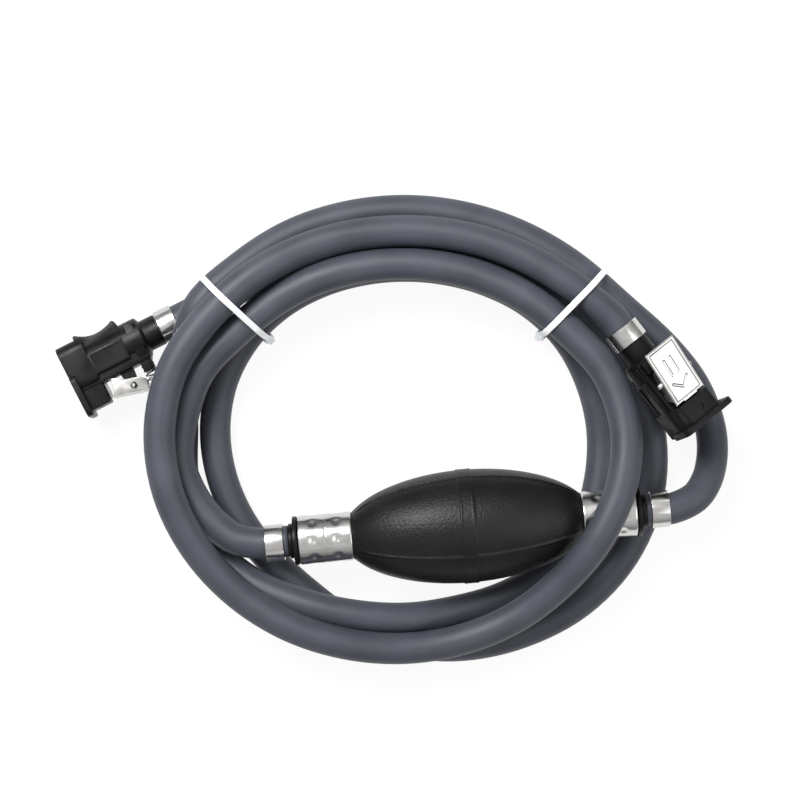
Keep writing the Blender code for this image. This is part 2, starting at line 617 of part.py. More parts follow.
def make_housing(name, frame, material):
    """The connector's body: barrel, deck, flared mouth, rim, latch block, pivot boss and thumb saddle."""
    rear_bore = INSERT_RADIUS + GAP
    barrel = [(HOUSING_REAR, 0), (HOUSING_REAR, rear_bore + 2 * GAP), (HOUSING_REAR * 2, BARREL_RADIUS)]
    barrel += [(HOUSING_LONG, BARREL_RADIUS), (HOUSING_LONG, 0)]
    rim_from = HOUSING_LONG - RIM_THICK
    low = DECK_HEIGHT / 2
    deck = block((HOUSING_REAR * 2.5, rim_from + GAP), (-low, DECK_HEIGHT), (-DECK_HALF, DECK_HALF))
    bell_outline = [(BELL_FROM, v, w) for v, w in rounded(BELL_LOW, DECK_HEIGHT, BELL_HALF, BELL_CORNER)]
    bell = prism(bell_outline, (HOUSING_LONG - BELL_FROM, 0, 0))
    rim_outline = [(rim_from, v, w) for v, w in rounded(RIM_LOW, RIM_HIGH, RIM_HALF, RIM_CORNER)]
    rim = prism(rim_outline, (RIM_THICK, 0, 0))
    start, end, half, height = LATCH_BLOCK
    latch_block = block((start, end), (low, height), (-half, half))

    crown = PIN_RADIUS + LATCH_SHEET + GAP / 2
    arc = [math.radians(15 * step) for step in range(1, 12)]
    boss_side = [(PIN_U - BOSS_BEHIND, low), (PIN_U + BOSS_AHEAD, low)]
    boss_side += [(PIN_U + crown * math.cos(angle), PIN_V + crown * math.sin(angle)) for angle in arc]
    boss = prism([(u, v, -BOSS_HALF) for u, v in boss_side], (0, 0, 2 * BOSS_HALF))

    crest, dip, front = (Vector(point) for point in (SADDLE_CREST, SADDLE_DIP, SADDLE_FRONT))
    saddle_side = [(SADDLE_REAR, -low), (SADDLE_REAR, 0.75 * crest.y), crest, crest.lerp(dip, 0.4), dip]
    saddle_side += [dip.lerp(front, 0.55) + Vector((0, (dip.y - front.y) / 4)), front, (front.x, -low)]
    saddle = prism([(u, v, -SADDLE_HALF) for u, v in saddle_side], (0, 0, 2 * SADDLE_HALF))

    wall_from = SOCKET_FROM - PLUNGER_WALL
    beyond = HOUSING_LONG + SOCKET_RADIUS
    bore = [(0, 0), (0, rear_bore), (PLUNGER_CHAMBER_FROM, rear_bore)]
    bore += [(PLUNGER_CHAMBER_FROM, PLUNGER_CHAMBER_RADIUS), (wall_from, PLUNGER_CHAMBER_RADIUS)]
    bore += [(wall_from, PLUNGER_HOLE), (SOCKET_FROM, PLUNGER_HOLE), (SOCKET_FROM, SOCKET_RADIUS)]
    groove = SOCKET_RADIUS + 2 * O_RING_WIRE
    room = O_RING_WIRE + GAP
    bore += [(O_RING_AT - room, SOCKET_RADIUS), (O_RING_AT - room, groove)]
    bore += [(O_RING_AT + room, groove), (O_RING_AT + room, SOCKET_RADIUS)]
    bore += [(beyond, SOCKET_RADIUS), (beyond, 0)]
    hook_u = PIN_U + HOOK_AT
    slot_u = (hook_u - 2 * LATCH_SHEET, hook_u + HOOK_SWING + 2 * GAP)
    slot_half = HOOK_HALF + GAP
    slot = block(slot_u, (SOCKET_RADIUS / 2, PIN_V + GAP), (-slot_half, slot_half))
    pin_hole = cross_rod(PIN_U, PIN_V, PIN_RADIUS + GAP, BOSS_HALF * 2)
    joined = [deck, bell, rim, latch_block, boss, saddle]
    shaped(name, turned(barrel), material, frame, joined, [turned(bore), slot, pin_hole])


def make_latch(name, frame, material):
    """A pressed latch on its pin: sloping plate, two cheeks with the pin's holes, and a hook at the front."""
    tilt = Matrix.Rotation(math.radians(-LATCH_TILT_DEGREES), 4, "Z")
    under = LATCH_OUTER - LATCH_SHEET
    plate = block((LATCH_REAR, LATCH_FRONT), (under, LATCH_OUTER), (-LATCH_HALF, LATCH_HALF))
    top, corner = LATCH_OUTER - LATCH_SHEET / 2, -CHEEK_LOW / 2
    cheek_side = [(CHEEK_REAR, top), (CHEEK_REAR, CHEEK_LOW + corner), (CHEEK_REAR + 2 * corner, CHEEK_LOW)]
    cheek_side += [(CHEEK_FRONT / 2, CHEEK_LOW), (CHEEK_FRONT * 2 / 3, CHEEK_TOE), (CHEEK_FRONT, CHEEK_TOE)]
    cheek_side += [(CHEEK_FRONT, top)]
    cheeks = []
    for side in (-1, 1):
        inner, outer = side * (LATCH_HALF - LATCH_SHEET), side * LATCH_HALF
        corners = [(u, v, inner) for u, v in cheek_side]
        cheeks.append(prism(corners, (0, 0, outer - inner)))
    for mesh in (plate, *cheeks):
        mesh.transform(tilt)
    hook_u = (HOOK_AT - LATCH_SHEET / 2, HOOK_AT + LATCH_SHEET / 2)
    hook = block(hook_u, (HOOK_REACH, LATCH_SHEET), (-HOOK_HALF, HOOK_HALF))
    hole = cross_rod(0, 0, PIN_RADIUS + GAP, LATCH_HALF * 2)
    shaped(name, plate, material, frame, [*cheeks, hook], [hole])


def make_connector(end, frame, materials):
    """One connector with its hose insert, shut-off plunger, seal, latch and clamp."""
    make_housing(end + "_housing", frame, materials["plastic"])

    collar_to = HOUSING_REAR - GAP
    collar_from = collar_to - INSERT_COLLAR_THICK
    insert = [(-INSERT_BARB_LONG, FITTING_BORE)]
    insert += [(-along, radius) for along, radius in reversed(barbs(-collar_from, INSERT_BARB_LONG, BARB_TEETH))]
    insert += [(collar_from, INSERT_COLLAR_RADIUS), (collar_to, INSERT_COLLAR_RADIUS)]
    insert += [(collar_to, INSERT_RADIUS), (INSERT_FRONT, INSERT_RADIUS), (INSERT_FRONT, FITTING_BORE)]
    place(end + "_barb_insert", turned(insert, 24), materials["plastic"], frame)

    front = SOCKET_FROM - PLUNGER_WALL - GAP
    back = front - PLUNGER_THICK
    guide = back - PLUNGER_GUIDE_LONG
    plunger = [(guide, 0), (guide, PLUNGER_GUIDE_RADIUS), (back, PLUNGER_GUIDE_RADIUS), (back, PLUNGER_RADIUS)]
    plunger += [(front, PLUNGER_RADIUS), (front, PLUNGER_STEM_RADIUS)]
    plunger += [(PLUNGER_STEM_TO, PLUNGER_STEM_RADIUS), (PLUNGER_STEM_TO, 0)]
    place(end + "_plunger", turned(plunger, 24), materials["valve"], frame)
    spring = coil_spring(INSERT_FRONT + GAP, back - GAP, SPRING_RADIUS, SPRING_WIRE, 5)
    place(end + "_plunger_spring", spring, materials["spring"], frame)

    ring_radius = SOCKET_RADIUS + O_RING_WIRE - GAP
    ring = []
    for step in range(8):
        angle = 2 * math.pi * step / 8
        ring.append((O_RING_AT + O_RING_WIRE * math.cos(angle), ring_radius + O_RING_WIRE * math.sin(angle)))
    place(end + "_o_ring", turned(ring, 24), materials["seal"], frame)

    pivot = frame @ Matrix.Translation((PIN_U, PIN_V, 0))
    make_latch(end + "_latch", pivot, materials["steel"])
    place(end + "_latch_pin", cross_rod(0, 0, PIN_RADIUS, PIN_HALF), materials["spring"], pivot)
    upright = Matrix.Translation((LATCH_SPRING_U, DECK_HEIGHT, 0)) @ Matrix.Rotation(math.pi / 2, 4, "Z")
    latch_spring = coil_spring(GAP, GAP + LATCH_SPRING_TALL, LATCH_SPRING_RADIUS, LATCH_SPRING_WIRE, 5)
    place(end + "_latch_spring", latch_spring, materials["spring"], frame @ upright)

    clamp_start = -CONNECTOR_CLAMP_FROM_HOSE_END - CLAMP_WIDE
    clamp(end + "_clamp", frame, clamp_start, materials["steel"])


def make_hose(name, route, material):
    hose = place(name, wire(route, HOSE_OD / 2, HOSE_BEVEL_STEPS, capped=False), material)
    wall = hose.modifiers.new("wall", "SOLIDIFY")
    wall.thickness = HOSE_WALL
    wall.offset = -1
    return hose


def facing(origin, along, latch):
    """A connector's frame from where it starts, the way that it points and the side of its latch."""
    across = along.cross(latch)
    turned_axes = Matrix((along, latch, across)).transposed().to_4x4()
    return Matrix.Translation(origin) @ turned_axes


def heading(degrees, pitch=0.0):
    turn, rise = math.radians(degrees), math.radians(pitch)
    return Vector((math.cos(turn) * math.cos(rise), math.sin(turn) * math.cos(rise), math.sin(rise)))


def main():
    for old in list(bpy.data.objects):
        bpy.data.objects.remove(old)
    materials = {
        "rubber": plain_material("bulb_rubber", (0.02, 0.02, 0.022), 0.55, 0.0),
        "hose": plain_material("hose_rubber", (0.1, 0.108, 0.128), 0.6, 0.0),
        "plastic": plain_material("black_plastic", (0.018, 0.018, 0.02), 0.4, 0.0),
        "steel": plain_material("stainless_sheet", (0.72, 0.71, 0.69), 0.25, 1.0),
        "spring": plain_material("spring_steel", (0.5, 0.5, 0.5), 0.3, 1.0),
        "valve": plain_material("valve_brass", (0.6, 0.45, 0.2), 0.35, 1.0),
        "seal": plain_material("seal_rubber", (0.01, 0.01, 0.01), 0.6, 0.0),
        "nylon": plain_material("white_nylon", (0.85, 0.87, 0.9), 0.4, 0.0),
    }

    outlet_frame = Matrix.Translation((0, 0, AXIS_Z))
    inlet_frame = outlet_frame @ Matrix.Rotation(math.pi, 4, "Z")
    make_bulb(materials["rubber"], outlet_frame)
    make_bulb_end("inlet", inlet_frame, False, materials)
    make_bulb_end("outlet", outlet_frame, True, materials)

    tank_way = heading(TANK_HEADING_DEGREES)
    lean = math.radians(TANK_LATCH_LEAN_DEGREES)
    tank_latch = Vector((0, 0, math.cos(lean))) + heading(TANK_HEADING_DEGREES + 90) * math.sin(lean)
    engine_way = heading(ENGINE_HEADING_DEGREES, ENGINE_PITCH_DEGREES)
    engine_latch = heading(ENGINE_HEADING_DEGREES + 90)
    make_connector("tank", facing(TANK_HOSE_END, tank_way, tank_latch), materials)
    make_connector("engine", facing(ENGINE_HOSE_END, engine_way, engine_latch), materials)

    tank_tail = [TANK_HOSE_END - tank_way * HOSE_OD * part for part in (1.4, 1, 0)]
    engine_tail = [ENGINE_HOSE_END - engine_way * HOSE_OD * part for part in (2.2, 1.4, 1, 0)]
    engine_tail[0].z += 0.09 * HOSE_OD
    tank_route = hose_route(TANK_LEAD, coiled(TANK_COIL_DEGREES, TANK_LANES, TANK_LEVELS), tank_tail)
    engine_route = hose_route(ENGINE_LEAD, coiled(ENGINE_COIL_DEGREES, ENGINE_LANES, ENGINE_LEVELS), engine_tail)
    make_hose("tank_hose", tank_route, materials["hose"])
    make_hose("engine_hose", engine_route, materials["hose"])
    for side, degrees in TIE_DEGREES.items():
        make_tie(side + "_cable_tie", degrees, (tank_route, engine_route), materials["nylon"])

    for name, route in (("tank hose", tank_route), ("engine hose", engine_route)):
        long = sum((b - a).length for a, b in zip(route, route[1:]))
        low = min(point.z for point in route) - HOSE_OD / 2
        print(name, f"{long:.3f} m, lowest {low / MM:.2f} mm, own gap {least_gap(route, route) / MM:.2f} mm")
    print("gap between hoses", f"{least_gap(tank_route, engine_route) / MM:.2f} mm")


main()
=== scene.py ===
# %% [markdown]
# # A siphon bulb pump on a white table
# The real object is a fuel line: a rubber squeeze bulb between two hoses that are coiled and tied together,
# with a latching connector on each free end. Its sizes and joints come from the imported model, which is
# loaded first. Everything below adds finer shapes and finishes in the same place, in metres.

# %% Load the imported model
import math

import bmesh
import bpy
from mathutils import Matrix, Vector


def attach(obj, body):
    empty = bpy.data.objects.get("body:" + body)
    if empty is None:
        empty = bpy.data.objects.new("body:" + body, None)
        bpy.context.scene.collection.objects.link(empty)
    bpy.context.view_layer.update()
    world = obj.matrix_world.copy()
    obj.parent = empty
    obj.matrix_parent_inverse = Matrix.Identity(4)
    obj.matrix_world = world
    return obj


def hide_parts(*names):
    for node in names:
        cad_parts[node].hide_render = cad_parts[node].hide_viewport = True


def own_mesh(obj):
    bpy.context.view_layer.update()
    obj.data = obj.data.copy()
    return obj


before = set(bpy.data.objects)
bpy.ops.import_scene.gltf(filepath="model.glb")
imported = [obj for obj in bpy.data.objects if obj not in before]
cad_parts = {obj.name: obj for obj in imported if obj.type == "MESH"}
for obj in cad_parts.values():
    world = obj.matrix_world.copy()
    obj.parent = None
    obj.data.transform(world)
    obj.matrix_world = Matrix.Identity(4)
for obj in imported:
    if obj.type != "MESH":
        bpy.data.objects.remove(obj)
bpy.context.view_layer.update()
scene = bpy.context.scene
MM = 0.001

# %% [markdown]
# The photo looks straight down, and the line lies a little turned in it. A long lens from 0.85 m gives the
# same slight widening of the upper strands. A camera that isn't turned looks down -Z, so only Z turns.

# %% Camera
PHOTO_TURN = math.radians(-4.9)
camera = bpy.data.objects.new("camera", bpy.data.cameras.new("camera"))
camera.data.sensor_width = 36
camera.data.lens = 86.4
camera.location = (-24.1 * MM, 56.4 * MM, 850 * MM)
camera.rotation_euler = (0, 0, PHOTO_TURN)
scene.collection.objects.link(camera)
scene.camera = camera
scene.view_settings.view_transform = "Standard"
print("camera height", camera.location.z)

# %% [markdown]
# Shader and geometry nodes are easier to read as sums. A Reading wraps a socket, and each Python operator on
# it adds one Math node. A Bench is a node tree with one method that adds any node: settings first, then the
# values or links of its sockets.


# %% Node sums
class Reading:
    """A socket that can be used in Python sums."""

    def __init__(self, bench, socket):
        self.bench = bench
        self.socket = socket

    def out(self, name):
        """Another output of the same node."""
        return Reading(self.bench, self.socket.node.outputs[name])

    def sum(self, operation, *values):
        return self.bench.add("ShaderNodeMath", {"operation": operation}, dict(enumerate(values)))

    def __add__(self, other):
        return self.sum("ADD", self, other)

    def __radd__(self, other):
        return self.sum("ADD", other, self)

    def __sub__(self, other):
        return self.sum("SUBTRACT", self, other)

    def __rsub__(self, other):
        return self.sum("SUBTRACT", other, self)

    def __mul__(self, other):
        return self.sum("MULTIPLY", self, other)

    def __rmul__(self, other):
        return self.sum("MULTIPLY", other, self)

    def __truediv__(self, other):
        return self.sum("DIVIDE", self, other)

    def __pow__(self, other):
        return self.sum("POWER", self, other)


class Bench:
    """A node tree and the one method that adds nodes to it."""

    def __init__(self, tree):
        self.tree = tree

    def add(self, kind, settings=(), sockets=(), out=0):
        node = self.tree.nodes.new(kind)
        for name, value in dict(settings).items():
            setattr(node, name, value)
        for name, value in dict(sockets).items():
            self.feed(node.inputs[name], value)
        return Reading(self, node.outputs[out]) if node.outputs else None

    def feed(self, socket, value):
        if isinstance(value, Reading):
            self.tree.links.new(value.socket, socket)
        else:
            socket.default_value = value


print("operators ready")

# %% [markdown]
# A finish starts from the Principled shader. Values that are the same all over are set on its sockets, and
# only colour, roughness and the bump vary. Noise at several sizes gives a surface its life: broad for
# handling marks, fine for the grain of the mould.


# %% Finish helpers
def new_finish(name, **constants):
    material = bpy.data.materials.new(name)
    material.use_nodes = True
    shader = material.node_tree.nodes["Principled BSDF"]
    for socket, value in constants.items():
        shader.inputs[socket.replace("_", " ")].default_value = value
    return material, Bench(material.node_tree), shader


def object_place(bench):
    return bench.add("ShaderNodeTexCoord", out="Object")


def noise(bench, place, scale, detail=2.0):
    return bench.add("ShaderNodeTexNoise", (), {"Vector": place, "Scale": scale, "Detail": detail})


def spread(bench, value, low, high, to_low, to_high):
    """A value's range moved to another range, and kept inside it."""
    return bench.add("ShaderNodeMapRange", (), {0: value, 1: low, 2: high, 3: to_low, 4: to_high})


def tint(bench, factor, first, second):
    colours = {0: factor, 6: (*first, 1), 7: (*second, 1)}
    return bench.add("ShaderNodeMix", {"data_type": "RGBA"}, colours, out=2)


def bump(bench, height, distance, strength=1.0):
    return bench.add("ShaderNodeBump", (), {"Height": height, "Distance": distance, "Strength": strength})


def dressed(bench, shader, colour, roughness, normal=None):
    bench.feed(shader.inputs["Base Color"], colour)
    bench.feed(shader.inputs["Roughness"], roughness)
    if normal:
        bench.feed(shader.inputs["Normal"], normal)


print("finish helpers ready")

# %% [markdown]
# The hose is extruded slate-grey rubber: matte, with faint lines along its length and cloudy patches from
# handling. The pattern follows the hose, so it reads two attributes that the hose's mesh carries: how far
# along a point lies, and where on the ring it is.


# %% Hose rubber
def make_hose_rubber():
    material, bench, shader = new_finish("hose_rubber", Specular_IOR_Level=0.38)
    along = bench.add("ShaderNodeAttribute", {"attribute_name": "along"}, out="Fac")
    ring = bench.add("ShaderNodeAttribute", {"attribute_name": "ring"}, out="Vector")
    split = bench.add("ShaderNodeSeparateXYZ", (), {0: ring})
    straight = bench.add("ShaderNodeCombineXYZ", (), {0: along, 1: split, 2: split.out("Y")})
    drawn = bench.add("ShaderNodeCombineXYZ", (), {0: along * 0.04, 1: split, 2: split.out("Y")})
    cloud = noise(bench, straight, 38, 4)
    lines = noise(bench, drawn, 1400, 2)
    grain = noise(bench, straight, 2600, 2)
    shade = spread(bench, cloud * 0.75 + lines * 0.25, 0.32, 0.68, 0, 1)
    colour = tint(bench, shade, (0.036, 0.040, 0.052), (0.060, 0.066, 0.083))
    roughness = spread(bench, cloud * 0.6 + lines * 0.4, 0.3, 0.7, 0.42, 0.56)
    dressed(bench, shader, colour, roughness, bump(bench, lines * 0.5 + grain * 0.5, 0.00006, 0.5))
    return material


hose_rubber = make_hose_rubber()
print(hose_rubber.name)

# %% [markdown]
# The bulb is black moulded rubber with a fine pebble, like the cover of a ball. Cells of about a millimetre
# give the pebble. Its high points are polished by hands, so they are smoother than the hollows.


# %% Pebbled rubber
def make_bulb_rubber():
    material, bench, shader = new_finish("bulb_rubber", Specular_IOR_Level=0.26)
    place = object_place(bench)
    cells = bench.add("ShaderNodeTexVoronoi", {"feature": "SMOOTH_F1"}, {"Vector": place, "Scale": 1050})
    fine = noise(bench, place, 2200, 2)
    cloud = noise(bench, place, 60, 3)
    pebble = cells * -1 + fine * 0.35
    shade = spread(bench, cloud, 0.3, 0.7, 0, 1)
    colour = tint(bench, shade, (0.0038, 0.0039, 0.0042), (0.0078, 0.008, 0.0085))
    roughness = spread(bench, cells + cloud * 0.5, 0.3, 1.1, 0.36, 0.5)
    dressed(bench, shader, colour, roughness, bump(bench, pebble, 0.00022, 0.55))
    return material


bulb_rubber = make_bulb_rubber()
print(bulb_rubber.name)

# %% [markdown]
# The housings and the flanges of the fittings are black plastic with a satin skin from a spark-eroded mould.
# A fine grain breaks up the gloss, and broad patches are rubbed a little smoother.


# %% Black plastic
def make_black_plastic(name, dark, pale):
    material, bench, shader = new_finish(name, Specular_IOR_Level=0.2)
    place = object_place(bench)
    grain = noise(bench, place, 5200, 1)
    cloud = noise(bench, place, 120, 3)
    colour = tint(bench, spread(bench, cloud * 0.7 + grain * 0.3, 0.35, 0.68, 0, 1), dark, pale)
    roughness = spread(bench, cloud, 0.3, 0.7, 0.3, 0.46)
    dressed(bench, shader, colour, roughness, bump(bench, grain, 0.00003, 0.45))
    return material


black_plastic = make_black_plastic("black_plastic", (0.0034, 0.0035, 0.004), (0.0066, 0.0068, 0.0075))
seal_rubber = make_black_plastic("seal_rubber", (0.004, 0.004, 0.004), (0.009, 0.009, 0.009))
print(black_plastic.name, seal_rubber.name)

# %% [markdown]
# Ferrules, clamps and latches are rolled stainless sheet. Rolling leaves fine lines one way, so the noise is
# stretched. Faint grey smears vary the roughness, and the reflections do the rest. The sides of a latch's
# cheeks get a second sheet that is rougher and painted darker; its darker colour is painted shade.


# %% Bright metals
def make_metal(name, dark, pale, smooth, dull, stretch):
    material, bench, shader = new_finish(name, Metallic=1.0)
    place = object_place(bench)
    rolled = bench.add("ShaderNodeMapping", (), {"Vector": place, "Scale": stretch})
    lines = noise(bench, rolled, 900, 3)
    smear = noise(bench, place, 170, 3)
    colour = tint(bench, spread(bench, smear * 0.6 + lines * 0.4, 0.35, 0.65, 0, 1), dark, pale)
    roughness = spread(bench, smear * 0.5 + lines * 0.5, 0.35, 0.65, smooth, dull)
    dressed(bench, shader, colour, roughness, bump(bench, lines, 0.00002, 0.35))
    return material


ROLLED = (0.1, 1, 1)
DRAWN = (1, 1, 1)
LATHED = (1, 1, 0.2)
stainless_sheet = make_metal("stainless_sheet", (0.6, 0.59, 0.575), (0.72, 0.71, 0.69), 0.17, 0.27, ROLLED)
spring_steel = make_metal("spring_steel", (0.42, 0.42, 0.425), (0.62, 0.62, 0.62), 0.2, 0.36, DRAWN)
valve_brass = make_metal("valve_brass", (0.5, 0.36, 0.15), (0.68, 0.51, 0.24), 0.22, 0.4, LATHED)
# A rougher sheet whose darker colour is painted shade, for the sides of the latch cheeks.
painted_shade_sheet = make_metal("painted_shade_sheet", (0.25, 0.245, 0.235), (0.34, 0.335, 0.325), 0.3, 0.42, ROLLED)
print(stainless_sheet.name, spring_steel.name, valve_brass.name, painted_shade_sheet.name)

# %% [markdown]
# The cable ties are natural white nylon. It is a little waxy, and light goes a short way in.


# %% White nylon
def make_nylon():
    material, bench, shader = new_finish("white_nylon", Subsurface_Weight=0.15, Subsurface_Scale=0.001)
    place = object_place(bench)
    cloud = noise(bench, place, 240, 3)
    colour = tint(bench, spread(bench, cloud, 0.3, 0.7, 0, 1), (0.83, 0.85, 0.88), (0.92, 0.935, 0.95))
    roughness = spread(bench, cloud, 0.3, 0.7, 0.3, 0.45)
    dressed(bench, shader, colour, roughness, bump(bench, noise(bench, place, 3000, 1), 0.00002, 0.4))
    return material


white_nylon = make_nylon()
print(white_nylon.name)

# %% [markdown]
# The hoses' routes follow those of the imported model: a lead from the bulb, a coil whose strands lie in lanes
# and levels counted in hose diameters, and a straight tail into the connector. A smooth curve through the
# route's points takes out the corners of the simple solids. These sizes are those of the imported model.

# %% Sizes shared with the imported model
HOSE_OD = 13.5 * MM
HOSE_WALL = 2.75 * MM
FERRULE_RADIUS = 10.5 * MM
AXIS_Z = max(24.6 * MM, FERRULE_RADIUS + 1.01 * HOSE_OD + 0.45 * MM)
BULB_HALF = 49.0 * MM
NECK_END = 71.6 * MM
FERRULE_FROM = 49.3 * MM
FERRULE_TO = 72.5 * MM
FLANGE_FROM = 72.8 * MM
FLANGE_TO = 76.6 * MM
HOSE_FROM = 76.9 * MM
COIL_CENTRE = Vector((-23.4 * MM, 44.2 * MM, 0))
COIL_RADIUS = 76.4 * MM
COIL_OVAL = 6.5 * MM
TANK_HOSE_END = Vector((79.0 * MM, 68.2 * MM, 31.0 * MM))
ENGINE_HOSE_END = Vector((-130.7 * MM, 94.5 * MM, 9.8 * MM))
print("bulb axis at", round(AXIS_Z, 5))

# %% [markdown]
# A strand of the coil is a row of (angle, lane) keys and a row of (angle, level) keys. A lane counts hose
# diameters outwards from the coil's inner radius, and a level counts them up from the table. The angles run
# on past 360 where a hose goes round more than once. At the left tie and at the bottom the strands lie a
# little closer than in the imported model, because the tie draws them together.

# %% Lanes and levels of the coil
TANK_LANES = (
    (188, 1.12), (165, 0.67), (144, 0.13), (120, 0.04), (90, 0.02), (60, 0.0), (36, 0.06), (15, 0.53),
    (0, 0.79), (-15, 0.93), (-30, 1.04), (-45, 1.27), (-60, 1.56), (-90, 1.84), (-120, 1.79), (-150, 1.66),
    (-180, 1.53), (-198, 1.36), (-216, 1.11), (-240, 1.08), (-270, 1.08), (-300, 1.11), (-324, 1.22),
)
TANK_LEVELS = (
    (188, 1.73), (180, 1.78), (170, 2.04), (160, 2.07), (144, 2.02), (120, 2.21), (90, 2.23), (60, 2.31),
    (36, 2.49), (15, 2.67), (0, 2.9), (-15, 3.13), (-23, 3.2), (-30, 3.11), (-45, 2.48), (-60, 1.93),
    (-75, 1.7), (-90, 1.78), (-104, 2.13), (-115, 2.3), (-127, 2.34), (-140, 2.36), (-150, 2.52),
    (-165, 2.7), (-180, 2.74), (-190, 2.82), (-200, 2.83), (-210, 2.8), (-218, 2.74), (-240, 2.37),
    (-270, 2.16), (-300, 2.24), (-324, 2.4),
)
ENGINE_LANES = (
    (28, 2.01), (36, 1.85), (60, 1.79), (90, 1.82), (120, 1.76), (144, 1.64), (152, 1.73), (165, 1.27),
    (178, 1.04), (186, 1.08), (195, 1.3), (204, 1.47), (210, 1.5), (225, 1.33), (240, 1.07), (255, 0.95),
    (270, 0.93), (285, 0.93), (300, 0.96), (315, 0.96), (330, 0.82), (345, 0.5), (360, 0.28), (380, 0.1),
    (396, 0.06), (420, 0.02), (450, 0.02), (480, 0.0), (540, 0.0), (555, 0.06), (570, 0.21), (588, 0.5),
    (601, 0.86), (615, 1.39), (630, 1.79), (645, 2.1), (660, 2.28), (675, 2.4), (690, 2.37), (705, 2.18),
    (720, 1.85), (735, 1.39), (750, 1.07), (780, 0.95), (810, 0.95), (840, 0.98), (857, 1.14),
)
ENGINE_LEVELS = (
    (28, 1.26), (36, 1.41), (60, 1.22), (90, 1.17), (120, 1.33), (135, 1.59), (144, 1.73), (156, 1.8),
    (163, 1.32), (170, 0.87), (178, 0.55), (188, 0.51), (195, 0.51), (204, 0.56), (225, 1.22), (233, 1.44),
    (240, 1.54), (248, 1.6), (258, 1.54), (270, 1.3), (285, 0.67), (292, 0.52), (330, 0.51), (360, 0.53),
    (380, 0.89), (396, 1.36), (420, 1.23), (450, 1.17), (480, 0.96), (504, 0.65), (525, 0.51), (720, 0.51),
    (735, 0.54), (750, 0.67), (765, 0.65), (780, 0.54), (830, 0.53), (845, 0.6), (857, 0.65),
)
print("keys", len(TANK_LANES), len(TANK_LEVELS), len(ENGINE_LANES), len(ENGINE_LEVELS))

# %% [markdown]
# The keys are read along a curve that never overshoots them, so a strand doesn't bulge between two keys into
# its neighbour. The points are then joined by a centripetal Catmull-Rom curve, which passes through each one.


# %% Route helpers
def eased(keys, at):
    """A value read from (place, value) keys along a curve that never overshoots them."""
    if keys[0][0] > keys[-1][0]:
        keys = tuple(reversed(keys))
    spans = [b[0] - a[0] for a, b in zip(keys, keys[1:])]
    rates = [(b[1] - a[1]) / span for a, b, span in zip(keys, keys[1:], spans)]
    slopes = [rates[0]]
    for index in range(1, len(rates)):
        before, after = rates[index - 1], rates[index]
        first, second = 2 * spans[index] + spans[index - 1], spans[index] + 2 * spans[index - 1]
        level = before * after <= 0
        slopes.append(0 if level else (first + second) / (first / before + second / after))
    slopes.append(rates[-1])
    index = max(i for i in range(len(spans)) if at >= keys[i][0] or i == 0)
    span = spans[index]
    t = (at - keys[index][0]) / span
    start = (1 + 2 * t) * (1 - t) ** 2 * keys[index][1] + t * (1 - t) ** 2 * span * slopes[index]
    end = t * t * (3 - 2 * t) * keys[index + 1][1] + t * t * (t - 1) * span * slopes[index + 1]
    return start + end


def coiled(first, last, lanes, levels):
    points = []
    step = 15 if last > first else -15
    for angle in range(first, last + step, step):
        radius = COIL_RADIUS + HOSE_OD * eased(lanes, angle) + COIL_OVAL * math.cos(2 * math.radians(angle))
        turn = math.radians(angle) + PHOTO_TURN
        height = HOSE_OD * eased(levels, angle)
        points.append(COIL_CENTRE + Vector((radius * math.cos(turn), radius * math.sin(turn), height)))
    return points


def smoothed(knots, steps):
    """Points on a smooth curve through knots."""
    line = [2 * knots[0] - knots[1], *knots, 2 * knots[-1] - knots[-2]]
    points = []
    for index in range(len(knots) - 1):
        a, b, c, d = line[index : index + 4]
        t1 = (b - a).length ** 0.5
        t2 = t1 + (c - b).length ** 0.5
        t3 = t2 + (d - c).length ** 0.5
        for step in range(steps):
            t = t1 + (t2 - t1) * step / steps
            ab = a.lerp(b, t / t1)
            bc = b.lerp(c, (t - t1) / (t2 - t1))
            cd = c.lerp(d, (t - t2) / (t3 - t2))
            abc = ab.lerp(bc, t / t2)
            bcd = bc.lerp(cd, (t - t1) / (t3 - t1))
            points.append(abc.lerp(bcd, (t - t1) / (t2 - t1)))
    return points + [knots[-1]]


def heading(degrees, pitch=0.0):
    turn, rise = math.radians(degrees), math.radians(pitch)
    return Vector((math.cos(turn) * math.cos(rise), math.sin(turn) * math.cos(rise), math.sin(rise)))


print("route helpers ready")

# %% [markdown]
# Each route is a lead, the coil's points and a tail. The tail runs straight into the connector, along the
# same way that the connector points. A strand on the table is lifted where the curve would dip into it.

